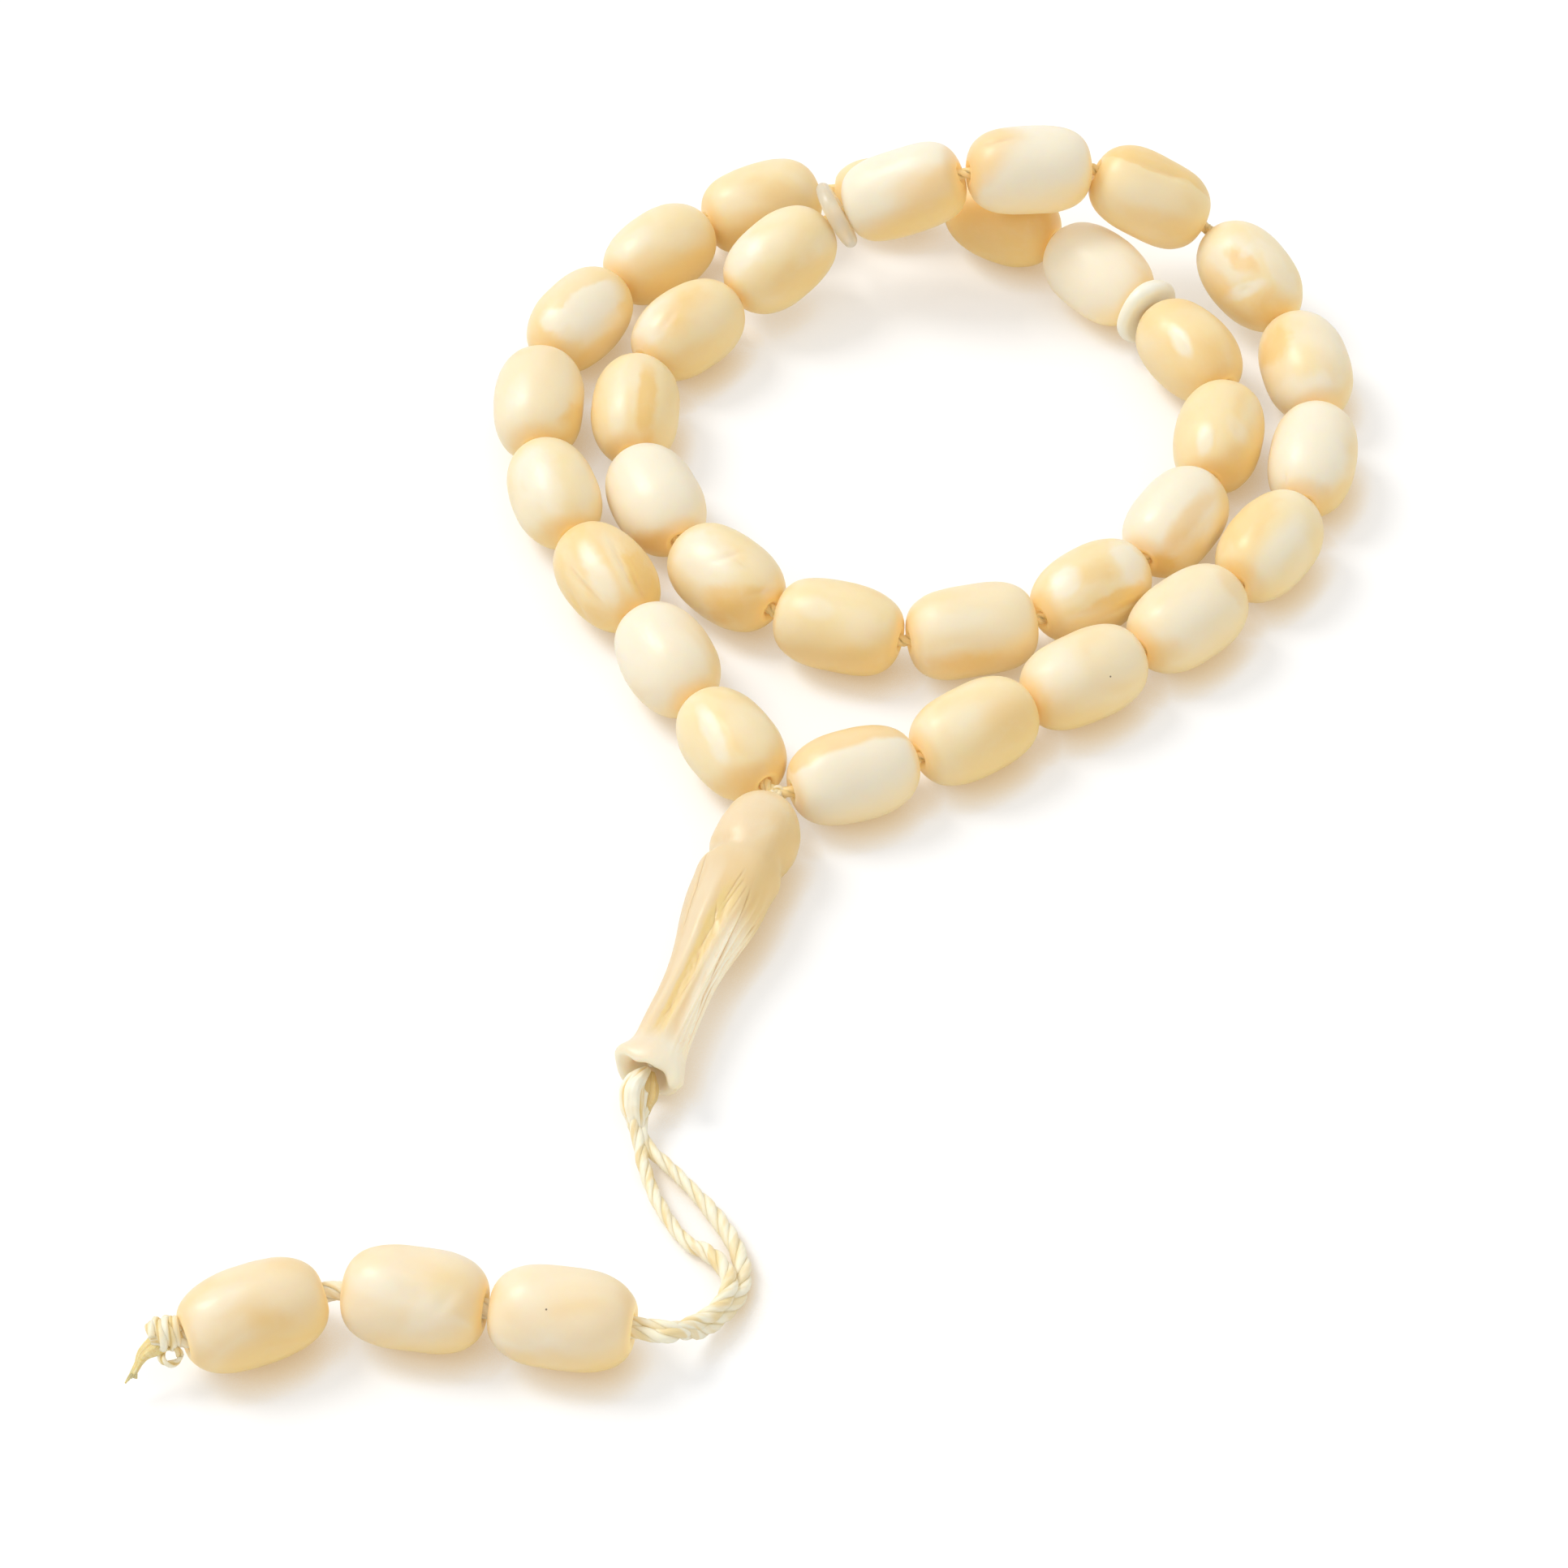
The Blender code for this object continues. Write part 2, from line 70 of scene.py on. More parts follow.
# ---------------------------------------------------------------- where things are, all from the frame (metres to mm)
ORDER = ["bead_%02d" % k for k in range(1, 12)] + ["separator_1"] + ["bead_%02d" % k for k in range(12, 23)]
ORDER += ["separator_2"] + ["bead_%02d" % k for k in range(23, 34)]
PLACE = {n: (arr(JOINTS["spin_" + n]["pos_m"]) * 1000, unit(JOINTS["spin_" + n]["axis"])) for n in ORDER}
for n in ("tail_bead_2", "tail_bead_3", "imame"):
    PLACE[n] = (arr(JOINTS["spin_" + n]["pos_m"]) * 1000, unit(JOINTS["spin_" + n]["axis"]))
_lo, _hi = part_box("tail_bead_1")
PLACE["tail_bead_1"] = ((arr(_lo) + arr(_hi)) * 500, -unit(JOINTS["glide_tail_bead_1"]["axis"]))
JOIN = arr(JOINTS["bend_1_imame_swing"]["pos_m"]) * 1000
KNOT = arr(JOINTS["bend_2_tail_below_knot"]["pos_m"]) * 1000
EYE_END = arr(JOINTS["bend_3_tail_before_beads"]["pos_m"]) * 1000
BEND_4 = arr(JOINTS["bend_4_tail_between_first_and_second"]["pos_m"]) * 1000
BEND_5 = arr(JOINTS["bend_5_tail_before_last_bead"]["pos_m"]) * 1000
INNER = ORDER[8:27]

BEAD_L, BEAD_R = 12.5, 4.5
TAIL_L, TAIL_R = 13.0, 4.65
IMAME_L = 34.0

# ---------------------------------------------------------------- camera
ELEVATION = math.radians(48.64)
CAM_FORWARD = np.array((0.0, math.cos(ELEVATION), -math.sin(ELEVATION)))
CAM_RIGHT = np.array((1.0, 0.0, 0.0))
CAM_UP = np.array((0.0, math.sin(ELEVATION), math.cos(ELEVATION)))


def screen(right, up, out):
    """A world direction from how it runs in the front view: to the right, up, and towards the eye."""
    return unit(CAM_RIGHT * right + CAM_UP * up - CAM_FORWARD * out)


def make_camera():
    data = bpy.data.cameras.new("front_view")
    data.lens = 130.5
    data.sensor_width = 36.0
    data.clip_start = 0.01
    data.clip_end = 20.0
    cam = bpy.data.objects.new("front_view", data)
    bpy.context.scene.collection.objects.link(cam)
    target = JOIN + np.array((0.8, 5.3, -JOIN[2]))
    at = target - CAM_FORWARD * 554.8
    m = Matrix((Vector(CAM_RIGHT), Vector(CAM_UP), Vector(-CAM_FORWARD))).transposed().to_4x4()
    m.translation = Vector(at) * MM
    cam.matrix_world = m
    bpy.context.scene.camera = cam


# ---------------------------------------------------------------- node helpers
class Nodes:
    """Short hand for building a material's nodes."""

    def __init__(self, name):
        self.mat = bpy.data.materials.new(name)
        self.mat.use_nodes = True
        self.tree = self.mat.node_tree
        self.shader = self.tree.nodes["Principled BSDF"]

    def add(self, kind, **props):
        node = self.tree.nodes.new(kind)
        for k, v in props.items():
            setattr(node, k, v)
        return node

    def link(self, a, b):
        self.tree.links.new(a, b)

    def set(self, socket, value):
        if hasattr(value, "is_linked") or hasattr(value, "links"):
            self.link(value, socket)
        else:
            socket.default_value = value

    def math(self, op, a, b=0.0, clamp=False):
        n = self.add("ShaderNodeMath", operation=op, use_clamp=clamp)
        self.set(n.inputs[0], a)
        self.set(n.inputs[1], b)
        return n.outputs[0]

    def vmath(self, op, a, b=(0, 0, 0)):
        n = self.add("ShaderNodeVectorMath", operation=op)
        self.set(n.inputs[0], a)
        self.set(n.inputs[1], b)
        return n.outputs["Value"] if op in ("DOT_PRODUCT", "LENGTH", "DISTANCE") else n.outputs["Vector"]

    def ramp(self, value, lo, hi, to_lo=0.0, to_hi=1.0, smooth=True):
        n = self.add("ShaderNodeMapRange", interpolation_type="SMOOTHSTEP" if smooth else "LINEAR")
        self.set(n.inputs["Value"], value)
        n.inputs["From Min"].default_value = lo
        n.inputs["From Max"].default_value = hi
        n.inputs["To Min"].default_value = to_lo
        n.inputs["To Max"].default_value = to_hi
        return n.outputs["Result"]

    def noise(self, vector, scale, detail=2.0, rough=0.5, distortion=0.0):
        n = self.add("ShaderNodeTexNoise")
        n.inputs["Scale"].default_value = scale
        n.inputs["Detail"].default_value = detail
        n.inputs["Roughness"].default_value = rough
        n.inputs["Distortion"].default_value = distortion
        self.link(vector, n.inputs["Vector"])
        return n.outputs["Fac"]

    def mix(self, fac, a, b):
        n = self.add("ShaderNodeMix", data_type="RGBA")
        self.set(n.inputs["Factor"], fac)
        for sock, v in ((n.inputs[6], a), (n.inputs[7], b)):
            if isinstance(v, tuple):
                sock.default_value = (*v, 1.0)
            else:
                self.link(v, sock)
        return n.outputs[2]

    def bump(self, height, strength, distance, normal=None):
        n = self.add("ShaderNodeBump")
        n.inputs["Strength"].default_value = strength
        n.inputs["Distance"].default_value = distance
        self.link(height, n.inputs["Height"])
        if normal is not None:
            self.link(normal, n.inputs["Normal"])
        return n.outputs["Normal"]


WHITE = (0.958, 0.845, 0.690)
CREAM = (0.925, 0.755, 0.440)
OCHRE = (0.875, 0.590, 0.190)
PINK = (0.925, 0.780, 0.530)
KEY = (-0.55, 0.31, 0.72)          # where the soft light stands


def painted_far_side_shade(n, colour, most=0.62, tint=(0.91, 0.665, 0.25)):
    """Painted shade: the side turned from the lamp and the underside are mixed towards gold, standing for light that
    has crossed the piece.
    """
    normal = n.add("ShaderNodeNewGeometry").outputs["Normal"]
    lit = n.vmath("DOT_PRODUCT", normal, tuple(unit((KEY[0] * 0.8, KEY[1] * 0.2, 0.75))))
    away = n.ramp(lit, 0.42, -0.62, 0.0, 1.0)
    return n.mix(n.math("MULTIPLY", away, most), colour, tint), away


def resin(name, half, seed, base=CREAM, white=None, ochre=None, dark=0.0, swirl=0.5, specks=(), blobs=(), scatter=0.0010, end_glow=0.05, glow=0.01):
    """Milky marbled resin. white and ochre are (direction, threshold, softness) of a patch in the piece's own axes."""
    n = Nodes(name)
    coord = n.add("ShaderNodeTexCoord").outputs["Object"]
    p = n.vmath("MULTIPLY", coord, tuple(1.0 / h for h in half))          # the surface becomes a unit ball
    shifted = n.vmath("ADD", p, (seed * 3.17 % 19, seed * 7.31 % 23, seed * 1.93 % 17))
    cloud = n.noise(shifted, 0.8, 1.0, 0.4, swirl * 1.2)
    veil = n.noise(shifted, 1.5, 2.0, 0.45, swirl * 1.8)
    fine = n.noise(shifted, 4.0, 2.0, 0.5, 0.3)
    colour = n.mix(n.ramp(veil, 0.30, 0.75, 0.0, 0.40), base, PINK)
    colour = n.mix(n.ramp(cloud, 0.48, 0.80, 0.0, 0.50), colour, WHITE)
    colour = n.mix(n.ramp(cloud, 0.50, 0.22, 0.0, 0.40), colour, OCHRE)
    for patch, tint, most in ((white, WHITE, 0.86), (ochre, OCHRE, 0.62)):
        if patch is None:
            continue
        direction, threshold, soft = patch
        d = n.vmath("DOT_PRODUCT", p, tuple(direction))
        d = n.math("ADD", d, n.math("MULTIPLY", n.math("SUBTRACT", cloud, 0.5), 0.8 + 0.5 * swirl))
        d = n.math("ADD", d, n.math("MULTIPLY", n.math("SUBTRACT", veil, 0.5), 0.5 * swirl))
        colour = n.mix(n.ramp(d, threshold - soft, threshold + soft, 0.0, most), colour, tint)
    if dark:
        colour = n.mix(dark, colour, OCHRE)
    for at, along, across, out, hl, hw, soft, tint, amount in blobs:
        q = n.vmath("SUBTRACT", coord, tuple(at))
        a = n.math("MULTIPLY", n.vmath("DOT_PRODUCT", q, tuple(along)), 1 / hl)
        b = n.math("MULTIPLY", n.vmath("DOT_PRODUCT", q, tuple(across)), 1 / hw)
        d = n.math("SQRT", n.math("ADD", n.math("MULTIPLY", a, a), n.math("MULTIPLY", b, b)))
        d = n.math("ADD", d, n.math("MULTIPLY", n.math("SUBTRACT", veil, 0.5), 0.9))
        d = n.math("ADD", d, n.math("MULTIPLY", n.math("SUBTRACT", fine, 0.5), 0.35))
        near = n.ramp(n.vmath("DOT_PRODUCT", q, tuple(out)), -0.004, -0.0015, 0.0, amount)
        colour = n.mix(n.math("MULTIPLY", near, n.ramp(d, 1 + soft * 0.7, 1 - soft * 0.9, 0.0, 1.0)), colour, tint)
    colour = n.mix(n.ramp(fine, 0.45, 0.85, 0.0, 0.10), colour, WHITE)
    # painted light where the beads meet: the ends are tinted gold as painted shade and glow a little where they almost
    # touch, as if lighting each other up; the holes and the side away from the lamp glow too, on top of a small even
    # painted glow
    x = n.math("ABSOLUTE", n.math("MULTIPLY", n.vmath("DOT_PRODUCT", p, (1, 0, 0)), 1.0))
    colour = n.mix(n.ramp(x, 0.84, 1.0, 0.0, 0.42), colour, (0.86, 0.62, 0.26))
    colour, away = painted_far_side_shade(n, colour)
    hole = n.ramp(n.vmath("LENGTH", n.vmath("MULTIPLY", coord, (0.0, 1.0, 1.0))), 0.0017, 0.0010, 0.0, 0.10)
    n.link(n.math("ADD", n.math("ADD", n.ramp(x, 0.93, 1.03, 0.0, end_glow), hole), n.math("ADD", glow, n.math("MULTIPLY", away, 0.085))), n.shader.inputs["Emission Strength"])
    n.link(n.mix(n.math("MULTIPLY", hole, 8.0), colour, (0.88, 0.64, 0.26)), n.shader.inputs["Emission Color"])
    for at in specks:
        far = n.vmath("DISTANCE", coord, tuple(at))
        colour = n.mix(n.ramp(far, 0.00006, 0.00012, 0.85, 0.0), colour, (0.10, 0.05, 0.015))
    n.link(colour, n.shader.inputs["Base Color"])
    rough = n.ramp(veil, 0.3, 0.7, 0.33, 0.42)
    n.link(rough, n.shader.inputs["Roughness"])
    n.shader.inputs["IOR"].default_value = 1.5
    n.shader.inputs["Subsurface Weight"].default_value = 1.0
    n.shader.inputs["Subsurface Radius"].default_value = (1.0, 0.84, 0.52)
    n.shader.inputs["Subsurface Scale"].default_value = scatter
    n.shader.inputs["Specular IOR Level"].default_value = 0.42
    n.shader.inputs["Coat Weight"].default_value = 0.18
    n.shader.inputs["Coat Roughness"].default_value = 0.33
    wear = n.noise(n.vmath("MULTIPLY", shifted, (1.0, 2.5, 2.5)), 2.0, 2.0, 0.5)
    normal = n.bump(wear, 0.04, 0.0003)
    n.link(normal, n.shader.inputs["Normal"])
    return n.mat


def silk(name, gold=0.35, ply=(0.955, 0.880, 0.690), glow=0.05, sheet=False):
    """Twisted silk yarn: bright plies with golden grooves between them, painted as shade, and fine fibres running with
    the twist.
    """
    n = Nodes(name)
    uv = n.add("ShaderNodeUVMap", uv_map="yarn").outputs["UV"]
    sep = n.add("ShaderNodeSeparateXYZ")
    n.link(uv, sep.inputs[0])
    along, around = sep.outputs[0], sep.outputs[1]       # mm along, 0..1 round the ply with 0.5 facing out
    groove_shade = n.math("ABSOLUTE", n.math("MULTIPLY", n.math("SUBTRACT", around, 0.5), 2.0))
    # painted shade: the deep folds of a tuft take the gold of the grooves
    if sheet:                                            # an untwisted tuft: the deep folds are gold, the raised ones pale
        groove_shade = n.math("ADD", groove_shade, 0.0)
    lay = n.add("ShaderNodeCombineXYZ")
    n.link(n.math("MULTIPLY", along, 0.35), lay.inputs[0])
    n.link(n.math("MULTIPLY", n.math("ADD", around, n.math("MULTIPLY", along, 0.05)), 9.0), lay.inputs[1])
    fibre = n.noise(lay.outputs[0], 2.2, 4.0, 0.7)
    spot = n.add("ShaderNodeCombineXYZ")
    n.link(n.math("MULTIPLY", along, 0.16), spot.inputs[0])
    n.link(around, spot.inputs[1])
    patch = n.noise(spot.outputs[0], 1.7, 2.0, 0.5)
    # painted shade: gold in the grooves between the plies and in the deep folds
    colour = n.mix(n.ramp(groove_shade, 0.30, 0.80), ply, (0.84, 0.63, 0.25))
    colour = n.mix(n.ramp(patch, 0.42, 0.60, 0.0, gold), colour, (0.82, 0.63, 0.27))
    colour = n.mix(n.ramp(fibre, 0.45, 0.80, 0.0, 0.40), colour, (0.975, 0.935, 0.80))
    n.link(colour, n.shader.inputs["Base Color"])
    n.link(n.ramp(fibre, 0.3, 0.7, 0.32, 0.52), n.shader.inputs["Roughness"])
    n.shader.inputs["Subsurface Weight"].default_value = 0.6
    n.shader.inputs["Subsurface Radius"].default_value = (1.0, 0.9, 0.72)
    n.shader.inputs["Subsurface Scale"].default_value = 0.00025
    n.shader.inputs["Sheen Weight"].default_value = 0.12
    n.shader.inputs["Sheen Roughness"].default_value = 0.35
    n.link(n.bump(fibre, 0.45, 0.00008), n.shader.inputs["Normal"])
    # painted glow: the yarn gives off a little light in its own colour
    if glow:                                             # light reaching it through the beads on either side
        n.link(colour, n.shader.inputs["Emission Color"])
        n.shader.inputs["Emission Strength"].default_value = glow
    return n.mat


# ---------------------------------------------------------------- mesh helpers
def grid_object(name, verts, faces, uv=None):
    mesh = bpy.data.meshes.new(name)
    mesh.from_pydata([tuple(v) for v in verts], [], faces)
    mesh.update()
    mesh.polygons.foreach_set("use_smooth", [True] * len(mesh.polygons))
    if uv is not None:
        layer = mesh.uv_layers.new(name="yarn")
        loops = np.empty(len(mesh.loops), int)
        mesh.loops.foreach_get("vertex_index", loops)
        layer.data.foreach_set("uv", np.asarray(uv, float)[loops].ravel())
    obj = bpy.data.objects.new(name, mesh)
    bpy.context.scene.collection.objects.link(obj)
    return obj


def axes_on(centre, direction):
    """Local X along the bore, local Z as near straight up as the bore allows. Centre in mm."""
    x = Vector(direction).normalized()
    y = Vector((0, 0, 1)).cross(x).normalized()
    z = x.cross(y)
    m = Matrix((x, y, z)).transposed().to_4x4()
    m.translation = Vector(centre) * MM
    return m


def local(direction, t):
    """A world direction in the axes of a piece whose bore runs along t."""
    return arr(axes_on((0, 0, 0), t).to_3x3().transposed() @ Vector(direction))


def outline(length, radius, end, bore, power, rows=46):
    """Half section of a bead: fuller or slimmer barrel, softened rim, a shallow dish and the bore right through."""
    a = length / 2 / (1 - (end / radius) ** power) ** (1 / power)
    f0 = math.asin((end / radius) ** (power / 2))
    pts = []
    for k in range(rows):
        f = f0 + (math.pi - 2 * f0) * k / (rows - 1)
        c = math.cos(f)
        pts.append((-math.copysign(abs(c) ** (2 / power), c) * a, abs(math.sin(f)) ** (2 / power) * radius))
    h = length / 2
    lip = [(h + 0.03, end - 0.10), (h + 0.01, end - 0.22), (h - 0.10, bore + 0.10), (h - 0.28, bore + 0.02), (h - 0.7, bore)]
    lip = [p for p in lip if p[1] >= bore - 1e-6]
    hole = [(h * 0.45, bore), (0.0, bore), (-h * 0.45, bore)]
    return pts + lip + hole + [(-x, r) for x, r in reversed(lip)]


def turned(name, section, around, shape):
    """Turns a closed half section about X. shape(x, r, angle) returns the point for each vertex."""
    verts, faces = [], []
    rows = len(section)
    for x, r in section:
        for k in range(around):
            ang = 2 * math.pi * k / around
            verts.append(shape(x, r, ang))
    for i in range(rows):
        j = (i + 1) % rows
        for k in range(around):
            q = (k + 1) % around
            faces.append((i * around + k, j * around + k, j * around + q, i * around + q))
    return verts, faces


def outward(obj):
    """Makes every face look outwards, by the sign of the enclosed volume."""
    m = obj.data
    m.calc_loop_triangles()
    co = np.empty(len(m.vertices) * 3)
    m.vertices.foreach_get("co", co)
    co = co.reshape(-1, 3)
    tri = np.empty(len(m.loop_triangles) * 3, int)
    m.loop_triangles.foreach_get("vertices", tri)
    t = co[tri.reshape(-1, 3)]
    if np.einsum("ij,ij->i", t[:, 0], np.cross(t[:, 1], t[:, 2])).sum() < 0:
        m.flip_normals()


# ---------------------------------------------------------------- beads
# What sets each bead apart: fullness of the barrel, tint, and where the white and the ochre lie; some entries also
# carry painted highlights, painted shade and a painted glow, each marked at its bead.
# white and ochre are half-space patches as seen from the front: (right, up, out, threshold, softness).
# blobs are (right mm, up mm, half length, half width, angle, edge softness, tint, amount), marks are shallow dents and folds:
# (right mm, up mm, length, width, depth, angle), specks are pinholes: (right mm, up mm).
LOOKS = {
    "bead_01": dict(power=2.6, base=PINK, white=(0.1, -0.3, 1, -0.10, 0.30), ochre=(-0.22, 1, 0.15, 0.60, 0.08)),
    # bead_02: the white blob at the left end is a painted highlight.
    "bead_02": dict(power=2.7, ochre=(0.7, -0.4, 0.4, 0.75, 0.45), blobs=[(4.4, 1.6, 3.5, 2.5, 0, 0.8, OCHRE, 0.30), (-2.4, 0.6, 3.0, 2.0, 20, 0.8, WHITE, 0.4)]),
    # bead_03: the white blob at the left is a painted highlight.
    "bead_03": dict(power=2.7, base=PINK, ochre=(-0.3, -0.9, 0.2, 0.62, 0.4), blobs=[(-2.6, 0.2, 3.0, 2.0, 30, 0.8, WHITE, 0.5)], specks=((2.4, 0.0),)),
    "bead_04": dict(power=2.6, base=PINK, blobs=[(-0.6, 0.0, 4.0, 2.2, 30, 0.8, WHITE, 0.6), (4.6, 3.2, 2.4, 1.1, -50, 0.5, OCHRE, 0.35), (-3.4, -3.6, 3.0, 1.4, 20, 0.7, OCHRE, 0.45)]),
    "bead_05": dict(power=2.4, blobs=[(-2.4, 2.6, 3.8, 1.7, 48, 0.6, OCHRE, 0.42), (0.8, -0.2, 5.2, 1.5, 50, 0.8, WHITE, 0.70), (-3.6, -3.0, 1.8, 1.4, 0, 0.7, OCHRE, 0.4)]),
    # bead_06: the ochre along the bottom edge is painted shade.
    "bead_06": dict(power=2.5, base=PINK, white=(-0.3, 0.2, 1, 0.30, 0.4), ochre=(0.5, -0.9, 0.1, 0.62, 0.20), marks=[(-3.2, -2.3, 1.8, 0.22, 0.20, 82)]),
    "bead_07": dict(power=2.3, base=PINK, blobs=[(-3.3, 2.3, 2.4, 1.3, 65, 0.5, OCHRE, 0.65), (-0.5, -2.6, 3.2, 1.7, 15, 0.55, WHITE, 0.85), (1.6, 2.6, 3.0, 2.0, 100, 0.8, WHITE, 0.4), (-0.3, 0.2, 1.8, 1.3, 70, 0.7, CREAM, 0.7)]),
    "bead_08": dict(power=2.25, swirl=0.9, blobs=[(-2.2, 1.4, 3.2, 2.6, 20, 0.5, WHITE, 0.75), (-1.2, 1.3, 2.2, 1.1, -35, 0.45, OCHRE, 0.60), (-0.6, 2.2, 1.0, 0.6, 40, 0.5, WHITE, 0.6),
                    (-0.8, -1.9, 2.4, 0.8, 22, 0.4, WHITE, 0.90), (2.5, 0.8, 3.8, 1.2, -55, 0.6, WHITE, 0.60), (2.4, -4.0, 2.8, 1.6, -50, 0.7, OCHRE, 0.55), (-3.4, -1.2, 2.4, 0.9, -60, 0.6, OCHRE, 0.4)],
                    marks=[(-0.8, -1.8, 0.9, 0.5, 0.12, 20), (-1.6, 1.4, 1.8, 0.9, 0.10, -50)]),
    "bead_09": dict(power=2.7, dark=0.10, ochre=(0.32, 1, 0.05, 0.50, 0.035), blobs=[(-1.0, -0.2, 4.0, 2.4, -15, 0.9, WHITE, 0.35), (1.0, -3.0, 5.0, 1.2, -15, 0.7, OCHRE, 0.35)],
                    marks=[(0.9, 2.4, 8.0, 0.5, 0.14, -22), (2.2, 2.2, 2.4, 0.7, 0.16, -22)]),
    "bead_10": dict(power=3.0, base=PINK, white=(-0.2, 0.3, 1, 0.10, 0.5), ochre=(-0.9, 0.3, 0.2, 0.72, 0.3), marks=[(-3.4, 2.6, 3.2, 0.5, 0.20, 12)]),
    # bead_11: the ochre on the lower right is painted shade.
    "bead_11": dict(power=3.3, base=PINK, white=(-0.6, 0.5, 0.7, 0.05, 0.3), ochre=(0.55, -0.75, 0.3, 0.34, 0.30), marks=[(-2.2, 2.7, 1.0, 0.7, 0.14, 0), (-1.4, 2.9, 0.6, 0.4, 0.12, 30)]),
    "bead_12": dict(power=2.4, blobs=[(-4.2, 0.2, 2.6, 2.2, 60, 0.6, WHITE, 0.85), (2.2, -2.2, 3.6, 1.8, 30, 0.8, OCHRE, 0.50), (-1.0, 1.4, 3.0, 1.6, 30, 0.8, WHITE, 0.4)]),
    "bead_13": dict(power=2.3, dark=0.04, blobs=[(-3.4, 0.4, 3.6, 1.6, 52, 0.35, WHITE, 0.85), (-0.4, 1.8, 3.0, 2.0, 40, 0.7, OCHRE, 0.55), (2.6, 1.0, 2.6, 2.2, 0, 0.8, PINK, 0.7), (1.2, -3.0, 3.4, 1.4, 25, 0.7, OCHRE, 0.35)],
                    marks=[(-1.8, 0.9, 3.2, 0.8, 0.10, 52)]),
    "bead_14": dict(power=2.5, dark=0.08, blobs=[(-1.7, 0.2, 3.4, 0.9, 88, 0.6, WHITE, 0.55), (1.3, 1.0, 4.6, 1.0, 88, 0.45, OCHRE, 0.75), (-3.0, 2.0, 2.6, 1.2, 80, 0.7, PINK, 0.5)]),
    # bead_15: the ochre blob at the bottom end is painted shade.
    "bead_15": dict(power=2.4, base=PINK, white=(-0.2, 0.3, 1, 0.02, 0.4), blobs=[(0.7, -5.0, 3.0, 1.5, -10, 0.6, OCHRE, 0.75)]),
    "bead_16": dict(power=2.5, blobs=[(-2.6, 2.0, 4.2, 2.8, -40, 0.6, WHITE, 0.85), (2.8, -3.2, 4.6, 2.2, -12, 0.35, OCHRE, 0.55), (3.6, 0.9, 2.4, 1.4, -40, 0.7, PINK, 0.8), (4.4, -1.5, 1.3, 0.7, 50, 0.5, WHITE, 0.5)],
                    marks=[(0.2, 2.0, 2.8, 0.5, 0.16, 20), (1.6, 1.1, 2.0, 0.4, 0.14, -35), (3.2, -1.6, 2.4, 0.5, 0.14, 20)]),
    # bead_17: the white blob at the upper left is a painted highlight.
    "bead_17": dict(power=2.9, ochre=(0.2, -0.9, 0.3, 0.75, 0.4), blobs=[(-2.2, 1.7, 1.8, 1.1, -8, 0.5, WHITE, 0.45), (2.4, 0.0, 1.8, 1.7, -20, 0.6, PINK, 0.75)], marks=[(0.3, 2.2, 2.4, 0.9, 0.08, -10), (4.2, 0.4, 1.5, 0.6, 0.07, 80)]),
    # bead_18: the ochre blob along the bottom is painted shade.
    "bead_18": dict(power=3.1, base=PINK, blobs=[(-0.4, -3.4, 4.4, 1.2, 5, 0.7, OCHRE, 0.65), (-1.8, 0.8, 3.6, 1.2, 8, 0.7, WHITE, 0.45)], marks=[(-2.6, -1.4, 3.6, 0.4, 0.06, 10)]),
    # bead_19: the first white blob, at the left, is a painted highlight.
    "bead_19": dict(power=2.5, swirl=0.9, dark=0.06, blobs=[(-2.9, 0.5, 1.9, 1.4, 60, 0.4, WHITE, 0.90), (3.6, 2.6, 2.8, 1.5, -62, 0.4, WHITE, 0.80), (2.0, -1.3, 4.2, 0.9, 26, 0.35, OCHRE, 0.70), (0.6, 1.6, 2.4, 1.1, 10, 0.7, OCHRE, 0.35), (-1.2, -3.2, 3.2, 1.0, 20, 0.7, PINK, 0.6)],
                    marks=[(3.0, -1.7, 3.2, 0.5, 0.18, 25), (1.6, 1.2, 1.8, 0.7, 0.12, -30), (-1.2, -2.3, 2.4, 0.4, 0.12, 15)], specks=((-0.7, -0.2),)),
    "bead_20": dict(power=2.4, white=(-0.6, 0.6, 0.5, -0.10, 0.25), blobs=[(1.1, 0.2, 4.0, 1.1, 52, 0.55, OCHRE, 0.50), (3.3, -1.5, 1.5, 0.9, 60, 0.5, WHITE, 0.70), (0.4, -2.6, 2.2, 1.6, 30, 0.7, OCHRE, 0.35), (-2.0, -5.0, 2.2, 1.6, 0, 0.5, OCHRE, 0.95)],
                    marks=[(2.6, -0.6, 1.6, 0.6, 0.10, 50)], specks=((-2.4, -3.6),)),
    "bead_21": dict(power=2.5, dark=0.06, ochre=(0.6, -0.8, 0.2, 0.42, 0.30), blobs=[(-1.8, -0.7, 1.6, 0.8, 82, 0.5, WHITE, 0.80), (1.5, 0.5, 1.5, 0.8, -60, 0.6, WHITE, 0.35), (2.8, -3.8, 2.6, 2.0, 0, 0.7, OCHRE, 0.6)], marks=[(-0.9, -0.5, 1.6, 0.6, 0.09, 80), (1.5, 0.3, 1.4, 0.6, 0.08, -60)]),
    "bead_22": dict(power=2.4, dark=0.16, blobs=[(-1.2, 0.6, 1.8, 0.9, -62, 0.4, WHITE, 0.80), (2.6, -2.0, 3.4, 1.2, -55, 0.7, OCHRE, 0.4)], marks=[(-1.0, 0.4, 2.4, 0.3, 0.09, -55)]),
    # bead_23: its glow is a painted glow, for a bead lying in the shade of its neighbours.
    "bead_23": dict(power=2.4, glow=0.09, base=PINK, white=(-0.5, 0.4, 0.8, 0.20, 0.4)),
    # bead_24: dark and the ochre below are painted shade, for a bead lying in shadow.
    "bead_24": dict(power=2.4, dark=0.40, ochre=(0.2, -0.8, 0.4, 0.0, 0.5)),
